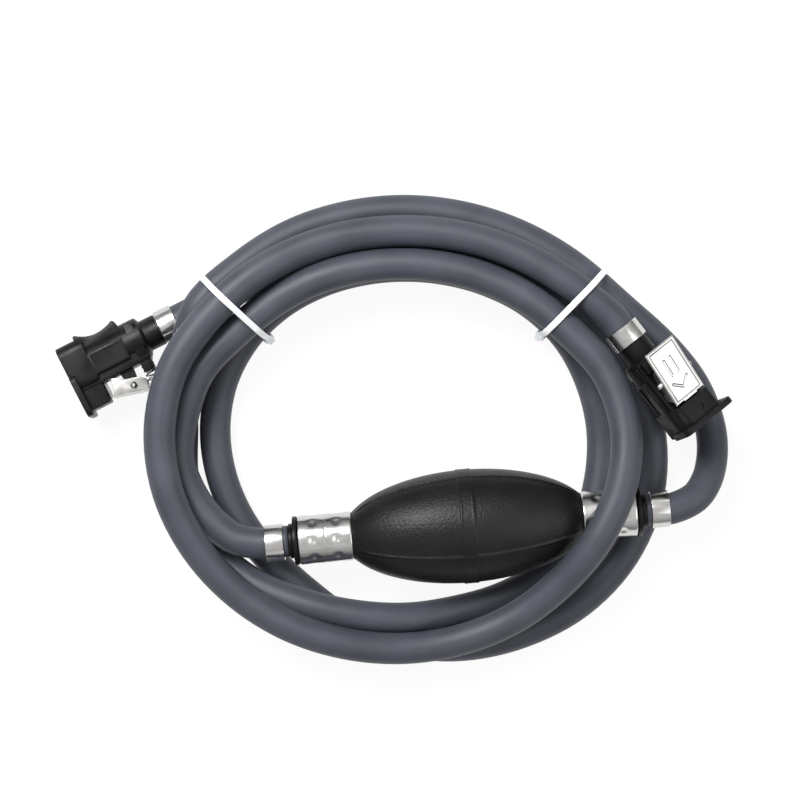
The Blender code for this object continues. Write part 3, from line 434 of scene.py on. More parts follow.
# %% The two routes
tank_way = heading(-56.9)
engine_way = heading(202.3, 4.7)
tank_lead = [
    (-HOSE_FROM, 0, AXIS_Z),
    (-HOSE_FROM - 0.56 * HOSE_OD, 0, AXIS_Z),
    (-HOSE_FROM - 0.86 * HOSE_OD, 0, AXIS_Z),
    (-99.0 * MM, 2.6 * MM, AXIS_Z - 0.2 * MM),
    (-106.5 * MM, 8.5 * MM, AXIS_Z - 0.6 * MM),
    (-113.5 * MM, 17.5 * MM, AXIS_Z - 1.0 * MM),
    (-118.3 * MM, 27.5 * MM, AXIS_Z - 1.2 * MM),
    (-121.0 * MM, 38.9 * MM, AXIS_Z - 1.2 * MM),
]
engine_lead = [
    (HOSE_FROM, 0, AXIS_Z),
    (HOSE_FROM + 0.56 * HOSE_OD, 0, AXIS_Z),
    (HOSE_FROM + 0.86 * HOSE_OD, 0, AXIS_Z),
    (98.8 * MM, 3.6 * MM, AXIS_Z - 2.2 * MM),
    (105.0 * MM, 10.0 * MM, AXIS_Z - 6.2 * MM),
    (109.0 * MM, 19.0 * MM, AXIS_Z - 11.0 * MM),
    (110.4 * MM, 29.5 * MM, AXIS_Z - 14.6 * MM),
    (108.6 * MM, 41.5 * MM, AXIS_Z - 16.0 * MM),
    (103.5 * MM, 54.5 * MM, AXIS_Z - 15.6 * MM),
    (92.0 * MM, 70.5 * MM, AXIS_Z - 12.2 * MM),
    (76.5 * MM, 86.5 * MM, AXIS_Z - 8.0 * MM),
]
tank_tail = [TANK_HOSE_END - tank_way * HOSE_OD * part for part in (1.4, 1, 0)]
engine_tail = [ENGINE_HOSE_END - engine_way * HOSE_OD * part for part in (2.2, 1.4, 1, 0)]
engine_tail[0].z += 0.09 * HOSE_OD
tank_knots = [Vector(p) for p in tank_lead] + coiled(180, -315, TANK_LANES, TANK_LEVELS) + tank_tail
engine_knots = [Vector(p) for p in engine_lead] + coiled(45, 855, ENGINE_LANES, ENGINE_LEVELS) + engine_tail
tank_path = smoothed(tank_knots, 6)
engine_path = smoothed(engine_knots, 6)
for point in engine_path:
    point.z = max(point.z, HOSE_OD / 2 + 0.05 * MM)


def run_of(path):
    return sum((b - a).length for a, b in zip(path, path[1:]))


print("tank hose", round(run_of(tank_path), 4), "m; engine hose", round(run_of(engine_path), 4), "m")

# %% [markdown]
# A tree of geometry nodes sweeps a round section along a path. The hoses and all the springs use it, with
# their own radius and number of sides. It stores how far along and where on the ring each point lies, which
# the finishes read. The result is kept as a plain mesh, and the modifier goes.


# %% Growing pieces with geometry nodes
def new_tree(name, **sizes):
    tree = bpy.data.node_groups.new(name, "GeometryNodeTree")
    tree.interface.new_socket("Geometry", in_out="INPUT", socket_type="NodeSocketGeometry")
    for size, kind in sizes.items():
        tree.interface.new_socket(size, in_out="INPUT", socket_type="NodeSocket" + kind)
    tree.interface.new_socket("Geometry", in_out="OUTPUT", socket_type="NodeSocketGeometry")
    bench = Bench(tree)
    return bench, bench.add("NodeGroupInput")


def mesh_piece(name, mesh):
    mesh.name = name
    piece = bpy.data.objects.new(name, mesh)
    scene.collection.objects.link(piece)
    return piece


def baked(host):
    """An object's mesh with its modifiers in it."""
    bpy.context.view_layer.update()
    seen = host.evaluated_get(bpy.context.evaluated_depsgraph_get())
    mesh = bpy.data.meshes.new_from_object(seen)
    bpy.data.objects.remove(host)
    return mesh


def grown(bench, base, **sizes):
    """A plain mesh from a tree that runs on a base mesh with these sizes."""
    host = mesh_piece("host", base)
    modifier = host.modifiers.new("grow", "NODES")
    modifier.node_group = bench.tree
    for item in bench.tree.interface.items_tree:
        if item.in_out == "INPUT" and item.name in sizes:
            modifier[item.identifier] = sizes[item.name]
    return baked(host)


def line_mesh(points):
    mesh = bpy.data.meshes.new("line")
    mesh.from_pydata(points, [(i, i + 1) for i in range(len(points) - 1)], [])
    return mesh


def make_sweep_tree():
    bench, entry = new_tree("swept_round", Radius="Float", Sides="Int", Capped="Bool", Finish="Material")
    curve = bench.add("GeometryNodeMeshToCurve", (), {0: entry})
    run = bench.add("GeometryNodeSplineParameter", out="Length")
    stored = {"data_type": "FLOAT", "domain": "POINT"}
    curve = bench.add("GeometryNodeStoreNamedAttribute", stored, {0: curve, "Name": "along", "Value": run})
    sizes = {"Resolution": entry.out("Sides"), "Radius": entry.out("Radius")}
    ring = bench.add("GeometryNodeCurvePrimitiveCircle", (), sizes)
    spot = bench.add("GeometryNodeInputPosition")
    stored = {"data_type": "FLOAT_VECTOR", "domain": "POINT"}
    ring = bench.add("GeometryNodeStoreNamedAttribute", stored, {0: ring, "Name": "ring", "Value": spot})
    swept = bench.add("GeometryNodeCurveToMesh", (), {0: curve, 1: ring, "Fill Caps": entry.out("Capped")})
    smooth = bench.add("GeometryNodeSetShadeSmooth", (), {0: swept})
    real = bench.add("GeometryNodeRealizeInstances", (), {0: smooth})
    finish = bench.add("GeometryNodeSetMaterial", (), {0: real, "Material": entry.out("Finish")})
    bench.add("NodeGroupOutput", (), {0: finish})
    return bench


sweep = make_sweep_tree()
print("sweep tree has", len(sweep.tree.nodes), "nodes")


# %% [markdown]
# A hose, a bulb and a ferrule are skins with a wall. The skin's faces have to point outwards before the wall
# gets its thickness. Each finished piece then takes its material and says which body carries it and which
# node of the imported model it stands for.


# %% Turning meshes the right way and closing walls
def outwards(mesh):
    """Merges doubles and points the faces outwards."""
    form = bmesh.new()
    form.from_mesh(mesh)
    bmesh.ops.remove_doubles(form, verts=form.verts, dist=1e-6)
    bmesh.ops.recalc_face_normals(form, faces=form.faces)
    form.to_mesh(mesh)
    form.free()
    return mesh


def walled(mesh, thickness):
    """A skin with a wall inside it and its rims closed."""
    host = mesh_piece("host", outwards(mesh))
    wall = host.modifiers.new("wall", "SOLIDIFY")
    wall.thickness = thickness
    wall.offset = -1
    return baked(host)


def settle(name, mesh, finish, body, slot, *nodes):
    """A finished piece: its material, the body that it rides on and the node that it stands for."""
    mesh.materials.clear()
    mesh.materials.append(finish)
    piece = mesh_piece(name, mesh)
    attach(piece, body)
    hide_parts(*nodes)
    return piece


print("settling helpers ready")


# %% [markdown]
# The hoses are the tree's first use: an open round skin along each route, and then its wall. The ends stay
# open, as cut hose does, and the fittings close them.


# %% The hoses
def make_hose(name, path, node):
    skin = grown(sweep, line_mesh(path), Radius=HOSE_OD / 2, Sides=32, Capped=False, Finish=hose_rubber)
    return settle(name, walled(skin, HOSE_WALL), hose_rubber, "line", "hose_rubber", node)


tank_hose = make_hose("tank_line", tank_path, "tank_hose")
engine_hose = make_hose("engine_line", engine_path, "engine_hose")
print("hose faces", len(tank_hose.data.polygons), len(engine_hose.data.polygons))

# %% [markdown]
# The floor is plain white. To the camera it is mostly shining and only a little lit, so it stays white, and a
# faint shadow still shows. The room is brighter overhead than at the sides, which gives the metal its darker
# edges. The fill lamp stands where the right latch mirrors it, so its plate shows as bright as in the photo.


# %% Floor, room and lamps
def make_floor():
    form = bmesh.new()
    bmesh.ops.create_grid(form, x_segments=1, y_segments=1, size=1.5)
    mesh = bpy.data.meshes.new("floor")
    form.to_mesh(mesh)
    form.free()
    floor = mesh_piece("floor", mesh)
    floor.location.z = -0.25 * MM
    material = bpy.data.materials.new("white_table")
    material.use_nodes = True
    material.node_tree.nodes.clear()
    bench = Bench(material.node_tree)
    path = bench.add("ShaderNodeLightPath", out="Is Camera Ray")
    seen = path + path.out("Is Glossy Ray") + path.out("Is Transmission Ray")
    lit = bench.add("ShaderNodeBsdfDiffuse", (), {"Color": (0.8, 0.8, 0.8, 1)})
    shining = bench.add("ShaderNodeEmission", (), {"Color": (1, 1, 1, 1), "Strength": 1.02})
    mixed = bench.add("ShaderNodeMixShader", (), {0: seen * 0.9, 1: lit, 2: shining})
    bench.add("ShaderNodeOutputMaterial", (), {"Surface": mixed})
    mesh.materials.append(material)
    floor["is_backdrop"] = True
    return floor


def make_room():
    world = bpy.data.worlds.new("room")
    scene.world = world
    world.use_nodes = True
    world.node_tree.nodes.clear()
    bench = Bench(world.node_tree)
    split = bench.add("ShaderNodeSeparateXYZ", (), {0: bench.add("ShaderNodeTexCoord", out="Generated")})
    up = spread(bench, split.out("Z"), 0.0, 0.8, 0.16, 0.66)
    camera_ray = bench.add("ShaderNodeLightPath", out="Is Camera Ray")
    level = up + (1 - up) * camera_ray
    light = bench.add("ShaderNodeBackground", (), {"Color": (1, 1, 1, 1), "Strength": level})
    bench.add("ShaderNodeOutputWorld", (), {"Surface": light})


def add_lamp(name, place, target, size, power):
    data = bpy.data.lights.new(name, "AREA")
    data.size = size
    data.energy = power
    lamp = bpy.data.objects.new(name, data)
    lamp.location = place
    lamp.rotation_euler = (Vector(target) - Vector(place)).to_track_quat("-Z", "Y").to_euler()
    scene.collection.objects.link(lamp)


make_floor()
make_room()
middle = (COIL_CENTRE.x, COIL_CENTRE.y, 0.02)
add_lamp("key", (-0.4, 0.6, 0.95), middle, 0.5, 16.0)
add_lamp("fill", (0.74, -0.13, 0.92), middle, 0.95, 4.0)
print("stage ready")

# %% [markdown]
# The bulb is an oval that two necks cut short. It has four fine ribs along it, where the mould's parts met,
# and a flat band round its middle. Its radius follows a rule, so geometry nodes bend a grid round the axis:
# one side of the grid runs along the bulb and the other round it. Rows crowd towards the band and columns
# towards the ribs, so these stay crisp with few faces.


# %% The bulb
def wrapped(bench, grid, along, radius, angle):
    """A grid bent round the X axis and closed along its seam."""
    y = radius * angle.sum("COSINE", angle)
    z = radius * angle.sum("SINE", angle)
    spot = bench.add("ShaderNodeCombineXYZ", (), {0: along, 1: y, 2: z})
    bent = bench.add("GeometryNodeSetPosition", (), {0: grid, "Position": spot})
    return bench.add("GeometryNodeMergeByDistance", (), {0: bent, "Distance": 1e-6})


def bell_curve(value, width):
    """One at zero, and next to nothing past the width."""
    return value.sum("EXPONENT", (value / width) ** 2 * -1)


def make_grid(bench, rows, columns):
    sizes = {"Size X": 1.0, "Size Y": 1.0, "Vertices X": rows, "Vertices Y": columns}
    grid = bench.add("GeometryNodeMeshGrid", (), sizes)
    split = bench.add("ShaderNodeSeparateXYZ", (), {0: bench.add("GeometryNodeInputPosition")})
    return grid, split, split.out("Y") * (2 * math.pi)


def ended(bench, mesh, entry):
    smooth = bench.add("GeometryNodeSetShadeSmooth", (), {0: mesh})
    real = bench.add("GeometryNodeRealizeInstances", (), {0: smooth})
    finish = bench.add("GeometryNodeSetMaterial", (), {0: real, "Material": entry.out("Finish")})
    bench.add("NodeGroupOutput", (), {0: finish})


def make_bulb_tree():
    kinds = dict.fromkeys(("Radius", "Oval", "Half", "Neck", "End", "Rib", "Band", "Band_half"), "Float")
    bench, entry = new_tree("ribbed_bulb", **kinds, Finish="Material")
    grid, x, turn = make_grid(bench, 221, 145)
    part = x * 2
    along = entry.out("End") * (part * 0.55 + part**3 * 0.45)
    far = along.sum("ABSOLUTE", along)
    angle = turn - turn.sum("SINE", turn * 4) * 0.2
    share = along / entry.out("Oval")
    oval = entry.out("Radius") * (1 - share * share).sum("MAXIMUM", 1 - share * share, 0.0) ** 0.5
    skin = oval.sum("SMOOTH_MAX", oval, entry.out("Neck"), 0.4 * MM)
    double = angle.sum("SINE", angle * 2)
    from_rib = double.sum("ARCSINE", double * 0.9999) * 0.5 * skin
    fade = spread(bench, far, entry.out("Half"), entry.out("Half") - 6 * MM, 0, 1)
    rib = bell_curve(from_rib, 0.55 * MM) * fade * entry.out("Rib")
    inside = entry.out("Band_half")
    band = spread(bench, far, inside + 0.25 * MM, inside - 0.2 * MM, 0, 1) * entry.out("Band")
    lip = bell_curve(far - inside, 0.45 * MM) * entry.out("Band") * 0.8
    radius = skin + rib.sum("MAXIMUM", rib, band + lip)
    ended(bench, wrapped(bench, grid, along, radius, angle), entry)
    return bench


AXIS = Matrix.Translation((0, 0, AXIS_Z))
RIB_TURN = math.radians(28)
bulb_skin = grown(
    make_bulb_tree(), bpy.data.meshes.new("empty"),
    Radius=24.3 * MM, Oval=54 * MM, Half=BULB_HALF, Neck=9.6 * MM, End=NECK_END,
    Rib=0.5 * MM, Band=0.3 * MM, Band_half=2.8 * MM, Finish=bulb_rubber,
)
bulb_shell = walled(bulb_skin, 2.6 * MM)
bulb_shell.transform(AXIS @ Matrix.Rotation(-math.pi / 2 + RIB_TURN, 4, "X"))
bulb = settle("squeeze_bulb", bulb_shell, bulb_rubber, "line", "bulb_rubber", "bulb")
print("bulb faces", len(bulb.data.polygons))

# %% [markdown]
# A ferrule is a thin steel sleeve that is squeezed onto the bulb's neck by a ring of jaws. Each jaw leaves a
# dent, so there are two rings of dents, and the ends are rolled in. The same bent grid makes it: the dents
# are bumps of one wave round the sleeve and two bells along it.


# %% The ferrules
def make_sleeve_tree():
    kinds = dict.fromkeys(("Radius", "From", "To", "Dent"), "Float")
    bench, entry = new_tree("crimped_sleeve", **kinds, Jaws="Int", Finish="Material")
    grid, x, angle = make_grid(bench, 73, 193)
    share = x + 0.5
    long = entry.out("To") - entry.out("From")
    along = entry.out("From") + share * long
    wave = angle.sum("COSINE", angle * entry.out("Jaws")) * 0.5 + 0.5
    rings = bell_curve((share - 0.28) * long, 1.7 * MM) + bell_curve((share - 0.72) * long, 1.7 * MM)
    edge = (x * 2).sum("ABSOLUTE", x * 2)
    rolled = spread(bench, edge, 0.94, 1.0, 0, 1) ** 2 * (0.4 * MM)
    crease = bell_curve((share - 0.5) * long, 0.35 * MM) * (0.12 * MM)
    radius = entry.out("Radius") - wave**2 * rings * entry.out("Dent") - rolled - crease
    ended(bench, wrapped(bench, grid, along, radius, angle), entry)
    return bench


sleeve_tree = make_sleeve_tree()
END_FRAMES = {"outlet": AXIS, "inlet": AXIS @ Matrix.Rotation(math.pi, 4, "Z")}
for end, end_frame in END_FRAMES.items():
    skin = grown(
        sleeve_tree, bpy.data.meshes.new("empty"), Radius=FERRULE_RADIUS, From=FERRULE_FROM, To=FERRULE_TO,
        Dent=0.55 * MM, Jaws=8, Finish=stainless_sheet,
    )
    sleeve = walled(skin, 0.5 * MM)
    sleeve.transform(end_frame)
    settle(end + "_sleeve", sleeve, stainless_sheet, "line", "stainless_sheet", end + "_ferrule")
print("ferrules made")

# %% [markdown]
# Many parts of the line are round or wrapped round something. A turned shape is an outline spun round the
# axis. A band is a loop of sections with the same number of corners, so it can step or bend along its way.


# %% Turned and banded shapes
def turned(outline, sides=64):
    """A closed outline of (along, radius) points spun round the X axis."""
    form = bmesh.new()
    corners = [form.verts.new((along, radius, 0)) for along, radius in outline]
    edges = [form.edges.new(pair) for pair in zip(corners, corners[1:] + corners[:1])]
    bmesh.ops.spin(
        form, geom=corners + edges, cent=(0, 0, 0), axis=(1, 0, 0), angle=2 * math.pi, steps=sides,
        use_merge=True,
    )
    bmesh.ops.remove_doubles(form, verts=form.verts, dist=1e-7)
    bmesh.ops.dissolve_degenerate(form, edges=form.edges, dist=1e-8)
    bmesh.ops.recalc_face_normals(form, faces=form.faces)
    mesh = bpy.data.meshes.new("turned")
    form.to_mesh(mesh)
    form.free()
    return shaded(mesh)


def shaded(mesh, degrees=32):
    mesh.shade_smooth()
    mesh.set_sharp_from_angle(angle=math.radians(degrees))
    return mesh


def banded(sections):
    """A closed loop of sections with the same number of corners."""
    form = bmesh.new()
    rings = [[form.verts.new(corner) for corner in section] for section in sections]
    for ring, following in zip(rings, rings[1:] + rings[:1]):
        for corner in range(len(ring)):
            other = (corner + 1) % len(ring)
            form.faces.new((ring[corner], ring[other], following[other], following[corner]))
    bmesh.ops.recalc_face_normals(form, faces=form.faces)
    mesh = bpy.data.meshes.new("band")
    form.to_mesh(mesh)
    form.free()
    return shaded(mesh)


def soft_section(wide, thick, corner):
    """(across, off) points of a strip's section with rounded corners."""
    points = []
    for quarter, (a, b) in enumerate(((1, 1), (-1, 1), (-1, -1), (1, -1))):
        for step in range(4):
            turn = math.pi / 2 * (quarter + step / 3)
            across = a * (wide / 2 - corner) + corner * math.cos(turn)
            off = b * (thick / 2 - corner) + corner * math.sin(turn)
            points.append((across, off))
    return points


def disc(start, end, radius, edge):
    """A disc's rim with softened edges, as outline points."""
    return [(start, radius - edge), (start + edge / 3, radius - edge / 3), (start + edge, radius),
            (end - edge, radius), (end - edge / 3, radius - edge / 3), (end, radius - edge)]


print("turned and banded shapes ready")

# %% [markdown]
# Between each ferrule and its hose shows the flange of the fitting: a thin disc against the ferrule, and then
# a narrow step that is little wider than the hose. Inside, a barbed tail holds the hose. The clamps are bands
# whose end laps over, so their sections step outwards over part of the turn.

# %% Fittings and clamps
BORE = 2.1 * MM
FITTING = [(50 * MM, 4.8 * MM), (50 * MM, 6.6 * MM), (FLANGE_FROM, 6.6 * MM)]
FITTING += disc(FLANGE_FROM, 74.7 * MM, 10.45 * MM, 0.35 * MM)
FITTING += [(74.7 * MM, 7.2 * MM), (75.1 * MM, 7.2 * MM)]
FITTING += disc(75.1 * MM, FLANGE_TO, 7.5 * MM, 0.3 * MM)
FITTING += [(FLANGE_TO, 2.66 * MM), (77.5 * MM, 2.66 * MM)]
for tooth in range(3):
    FITTING += [((77.5 + 3.5 * tooth) * MM, 2.66 * MM), ((77.5 + 3.5 * tooth) * MM, 3.16 * MM)]
FITTING += [(88 * MM, 2.66 * MM), (88 * MM, BORE), (62 * MM, BORE), (62 * MM, 4.8 * MM)]
CLAMP_WIDE = 7.8 * MM


def make_clamp(start, steps=120):
    sections = []
    for step in range(steps):
        angle = 360 * step / steps
        lapped = max(0.0, min(1.0, (62 - min(angle, 360 - angle)) / 4))
        thick = 0.7 * MM + 0.4 * MM * lapped
        middle_radius = HOSE_OD / 2 + 0.2 * MM + thick / 2
        turn = math.radians(angle)
        section = []
        for across, off in soft_section(CLAMP_WIDE, thick, 0.28 * MM):
            radius = middle_radius + off + 0.12 * MM * (2 * across / CLAMP_WIDE) ** 6
            along = start + CLAMP_WIDE / 2 + across
            section.append((along, radius * math.cos(turn), radius * math.sin(turn)))
        sections.append(section)
    return banded(sections)


for end, end_frame in END_FRAMES.items():
    plug = turned(FITTING)
    plug.transform(end_frame)
    settle(end + "_plug", plug, black_plastic, "line", "black_plastic", end + "_fitting")
    band = make_clamp(79 * MM)
    band.transform(end_frame)
    settle(end + "_band", band, stainless_sheet, "line", "stainless_sheet", end + "_clamp")
print("fittings and clamps made")

# %% [markdown]
# A cable tie is drawn tight round all the strands, so it follows their outer hull: for each direction, the
# strap lies where the strands reach farthest. Ties slip askew when they are drawn, so each is turned a little
# from square. Its head is a small block low on the inner side, and the cut end of the strap stands out of it.


# %% Cable ties
def crossings(path, middle, out, side):
    """Where a path crosses the upright plane of a tie: its reach, its height and its half width there."""
    found = []
    for a, b in zip(path, path[1:]):
        before, after = (a - middle).dot(side), (b - middle).dot(side)
        if before * after > 0 or before == after:
            continue
        point = a.lerp(b, before / (before - after))
        reach = (point - middle).dot(out)
        if abs(reach) < COIL_RADIUS / 2:
            slant = (b - a).dot(out) / (b - a).dot(side)
            found.append((reach, point.z, HOSE_OD / 2 * math.hypot(1, slant) + 1.2 * MM * abs(slant)))
    return found


def soft_block(size, soften):
    form = bmesh.new()
    bmesh.ops.create_cube(form, size=1)
    bmesh.ops.scale(form, vec=size, verts=form.verts)
    bmesh.ops.bevel(form, geom=form.edges[:], offset=soften, segments=3, profile=0.5, affect="EDGES")
    mesh = bpy.data.meshes.new("block")
    form.to_mesh(mesh)
    form.free()
    return mesh


def merged(name, meshes):
    """Several closed shells kept in one mesh."""
    form = bmesh.new()
    for mesh in meshes:
        form.from_mesh(mesh)
    mesh = bpy.data.meshes.new(name)
    form.to_mesh(mesh)
    form.free()
    return shaded(mesh)


def make_tie(name, degrees, skew, steps=180, slack=0.3 * MM, thick=1.0 * MM, wide=2.7 * MM):
    turn = math.radians(degrees) + PHOTO_TURN
    middle = COIL_CENTRE + (COIL_RADIUS + HOSE_OD) * Vector((math.cos(turn), math.sin(turn), 0))
    out = heading(math.degrees(turn) + skew)
    side = Vector((-out.y, out.x, 0))
    strands = crossings(tank_path, middle, out, side) + crossings(engine_path, middle, out, side)

    def support(angle):
        cos, sin = math.cos(angle), math.sin(angle)
        best = None
        for reach, up, half in strands:
            a, b = half + slack, HOSE_OD / 2 + slack
            height = math.hypot(a * cos, b * sin)
            far = reach * cos + up * sin + height
            if best is None or far > best[0]:
                best = (far, reach + a * a * cos / height, up + b * b * sin / height)
        return best[1], best[2], cos, sin

    def at(reach, up, across):
        return middle + out * reach + side * across + Vector((0, 0, up))

    sections = []
    for step in range(steps):
        reach, up, cos, sin = support(2 * math.pi * step / steps)
        sections.append([
            at(reach + (off + thick / 2) * cos, up + (off + thick / 2) * sin, across)
            for across, off in soft_section(wide, thick, 0.3 * MM)
        ])
    reach, up, cos, sin = support(math.radians(216))
    facing_out = out * cos + Vector((0, 0, sin))
    along = -out * sin + Vector((0, 0, cos))
    axes = Matrix((side, along, facing_out)).transposed().to_4x4()
    head = soft_block((4.6 * MM, 3.8 * MM, 2.4 * MM), 0.5 * MM)
    head.transform(Matrix.Translation(at(reach + 1.9 * MM * cos, up + 1.9 * MM * sin, 0)) @ axes)
    tail = soft_block((2.6 * MM, 1.0 * MM, 2.2 * MM), 0.3 * MM)
    tail.transform(Matrix.Translation(at(reach + 4.2 * MM * cos, up + 4.2 * MM * sin, 0)) @ axes)
    strap = merged(name, [banded(sections), head, tail])
    return settle(name + "_tie_strap", strap, white_nylon, "line", "white_nylon", name + "_cable_tie")


for name, degrees, skew in (("left", 144.6, -8), ("right", 36.4, 9)):
    make_tie(name, degrees, skew)
print("ties made")

# %% [markdown]
# A connector is measured from its hose end: u runs to its mouth, v towards its latch and w across. Its black
# housing is many moulded forms in one, so each form is softened at its edges first and then joined to the
# others, and the bore, the hook's slot and the pin's hole are cut last.


# %% Connector forms
def solid(outline, start, end, axis, soften=0.0):
    """An outline pushed along an axis. Across w the outline is (u, v), and along u it is (v, w)."""
    form = bmesh.new()
    if axis == "w":
        corners = [(u * MM, v * MM, start * MM) for u, v in outline]
        push = (0, 0, (end - start) * MM)
    else:
        corners = [(start * MM, v * MM, w * MM) for v, w in outline]
        push = ((end - start) * MM, 0, 0)
    face = form.faces.new([form.verts.new(corner) for corner in corners])
    pushed = bmesh.ops.extrude_face_region(form, geom=[face])
    moved = [item for item in pushed["geom"] if isinstance(item, bmesh.types.BMVert)]
    bmesh.ops.translate(form, verts=moved, vec=push)
    bmesh.ops.recalc_face_normals(form, faces=form.faces)
    if soften:
        sharp = [edge for edge in form.edges if edge.calc_face_angle() > 0.6]
        bmesh.ops.bevel(
            form, geom=sharp, offset=soften * MM, segments=3, profile=0.5, affect="EDGES", clamp_overlap=True
        )
    mesh = bpy.data.meshes.new("solid")
    form.to_mesh(mesh)
    form.free()
    return mesh


def slab(u, v, w, soften=0.0):
    return solid([(u[0], v[0]), (u[1], v[0]), (u[1], v[1]), (u[0], v[1])], w[0], w[1], "w", soften)


def rounded(low, high, half, corner, steps=8):
    middles = ((high - corner, half - corner), (low + corner, half - corner))
    middles += ((low + corner, corner - half), (high - corner, corner - half))
    points = []
    for quarter, (v, w) in enumerate(middles):
        for step in range(steps + 1):
            angle = math.pi / 2 * (quarter + step / steps)
            points.append((v + corner * math.cos(angle), w + corner * math.sin(angle)))
    return points


def round_rod(u, v, radius, half, sides=40):
    turn = [2 * math.pi * side / sides for side in range(sides)]
    return solid([(u + radius * math.cos(a), v + radius * math.sin(a)) for a in turn], -half, half, "w")


def combined(first, joined, cut):
    """One mesh, with others joined to it and cut from it."""
    host = mesh_piece("host", first)
    helpers = []
    for operation, meshes in (("UNION", joined), ("DIFFERENCE", cut)):
        for mesh in meshes:
            helper = mesh_piece("helper", mesh)
            helpers.append(helper)
            boolean = host.modifiers.new("shape", "BOOLEAN")
            boolean.operation = operation
            boolean.object = helper
    mesh = baked(host)
    for helper in helpers:
        bpy.data.objects.remove(helper)
    return shaded(mesh, 28)


print("connector forms ready")


# %% [markdown]
# One function makes the housing for both ends, in its own axes and in millimetres: a barrel with a flat deck,
# a bell and a flange at the mouth, a block that takes the latch's hook, a boss for its pin, a tower for its
# spring, and a finger saddle on the other side. A matrix then puts it where each hose ends.


# %% The housings
def scaled(outline):
    return [(along * MM, radius * MM) for along, radius in outline]


def make_housing():
    barrel_side = [(1.5, 0), (1.5, 5.6), (2.0, 6.9), (3.0, 9.0), (3.6, 9.5), (39.5, 9.5), (39.5, 0)]
    barrel = turned(scaled(barrel_side))
    deck = slab((3.75, 37.4), (-5, 10), (-8, 8), 0.7)
    neck = turned(scaled([(-4.6, 6.8), (-4.6, 7.05), (2.6, 7.05), (2.6, 6.8)]))
    bell = solid(rounded(-11.9, 10, 9.8, 5), 27.6, 39.5, "u", 0.7)
    rim = solid(rounded(2, 21.1, 12.8, 3), 36.7, 39.5, "u", 0.4)
    tower = slab((4.2, 9.4), (5, 14.4), (-7.4, 7.4), 0.6)
    well = turned(scaled([(10.1, 0), (10.1, 3.3), (16, 3.3), (16, 0)]), 40)
    well.transform(Matrix.Translation((7 * MM, 0, 0)) @ Matrix.Rotation(math.pi / 2, 4, "Z"))
    block = slab((27.7, 37.6), (5, 19), (-7.5, 7.5), 0.8)
    arc = [math.radians(7.5 * step) for step in range(2, 23)]
    crown = 2.2
    boss_side = [(12.6, 5), (20, 5)] + [(16 + crown * math.cos(a), 17.2 + crown * math.sin(a)) for a in arc]
    boss = solid(boss_side, -5.6, 5.6, "w", 0.3)
    top = [(10.6, -5), (10.8, -9.6), (11.4, -11.6), (12.4, -12.3)]
    for step in range(1, 12):
        u = 12.4 + 17.0 * step / 12
        dip = (u - 20.7) / 8.6
        top.append((u, -10.3 - (2.0 if dip < 0 else 3.2) * dip * dip))
    saddle = solid(top + [(29.4, -13.6), (30.4, -13.3), (30.8, -5)], -6.4, 6.4, "w", 0.4)
    pads = slab((11.6, 28.4), (-3.6, 6.2), (-9.8, 9.8), 0.5)
    lips = slab((4.6, 9.0), (-7.6, 7.6), (-8.6, 8.6), 0.6)
    bore = scaled([
        (0, 0), (0, 5.0), (9, 5.0), (9, 4.2), (19, 4.2), (19, 2.6), (20.5, 2.6), (20.5, 6.5), (32.4, 6.5),
        (32.4, 8.1), (34.6, 8.1), (34.6, 6.5), (38.9, 6.5), (39.7, 7.2), (46, 7.2), (46, 0),
    ])
    slot = slab((25.1, 30.2), (3.2, 17.5), (-3.9, 3.9))
    pin_hole = round_rod(16, 17.2, 1.55, 11)
    dimple = turned(scaled([(0, 0), (0, 1.5), (3, 1.5), (3, 0)]), 32)
    dimple.transform(Matrix.Translation((33 * MM, 18.3 * MM, 0)) @ Matrix.Rotation(math.pi / 2, 4, "Z"))
    hollows = []
    for side in (-1, 1):
        hollows.append(slab((13.0, 27.0), (-2.4, 5.0), sorted((side * 9.25, side * 12))))
    joined = [deck, bell, rim, block, boss, saddle, pads, lips, tower, neck]
    return combined(barrel, joined, [turned(bore), slot, pin_hole, dimple, well, *hollows])


def facing(origin, along, latch):
    across = along.cross(latch)
    return Matrix.Translation(origin) @ Matrix((along, latch, across)).transposed().to_4x4()


lean = math.radians(13)
tank_latch_way = Vector((0, 0, math.cos(lean))) + heading(-56.9 + 90) * math.sin(lean)
CONNECTORS = {
    "tank": facing(TANK_HOSE_END, tank_way, tank_latch_way),
    "engine": facing(ENGINE_HOSE_END, engine_way, heading(202.3 + 90)),
}
for end, place in CONNECTORS.items():
    housing = make_housing()
    housing.transform(place)
    piece = settle(end + "_body", housing, black_plastic, "line", "black_plastic", end + "_housing")
    band = make_clamp(-12.8 * MM)
    band.transform(place)
    settle(end + "_band", band, stainless_sheet, "line", "stainless_sheet", end + "_clamp")
    print(end, "housing faces", len(piece.data.polygons))

# %% [markdown]
# The latch is pressed from one steel sheet: a plate with a raised rim and a plain arrow pressed into it, a
# cheek down each side with a hole for the pin, and a hook at the front. The plate is a fine grid whose height
# is worked out point by point, then thickened, and the cheeks and the hook are joined to it.


# %% The latches
REAR, FRONT, HALF = -15.6, 10.6, 7.6
TILT = Matrix.Rotation(math.radians(-15), 4, "Z")
ARROW_SHAFT = [((7.0, -1.7), (14.2, -1.7)), ((7.0, 1.7), (14.2, 1.7))]
ARROW_HEAD = [((17.6, -3.7), (21.0, 0)), ((17.6, 3.7), (21.0, 0))]


def ramp(value, low, high):
    t = max(0.0, min(1.0, (value - low) / (high - low)))
    return t * t * (3 - 2 * t)


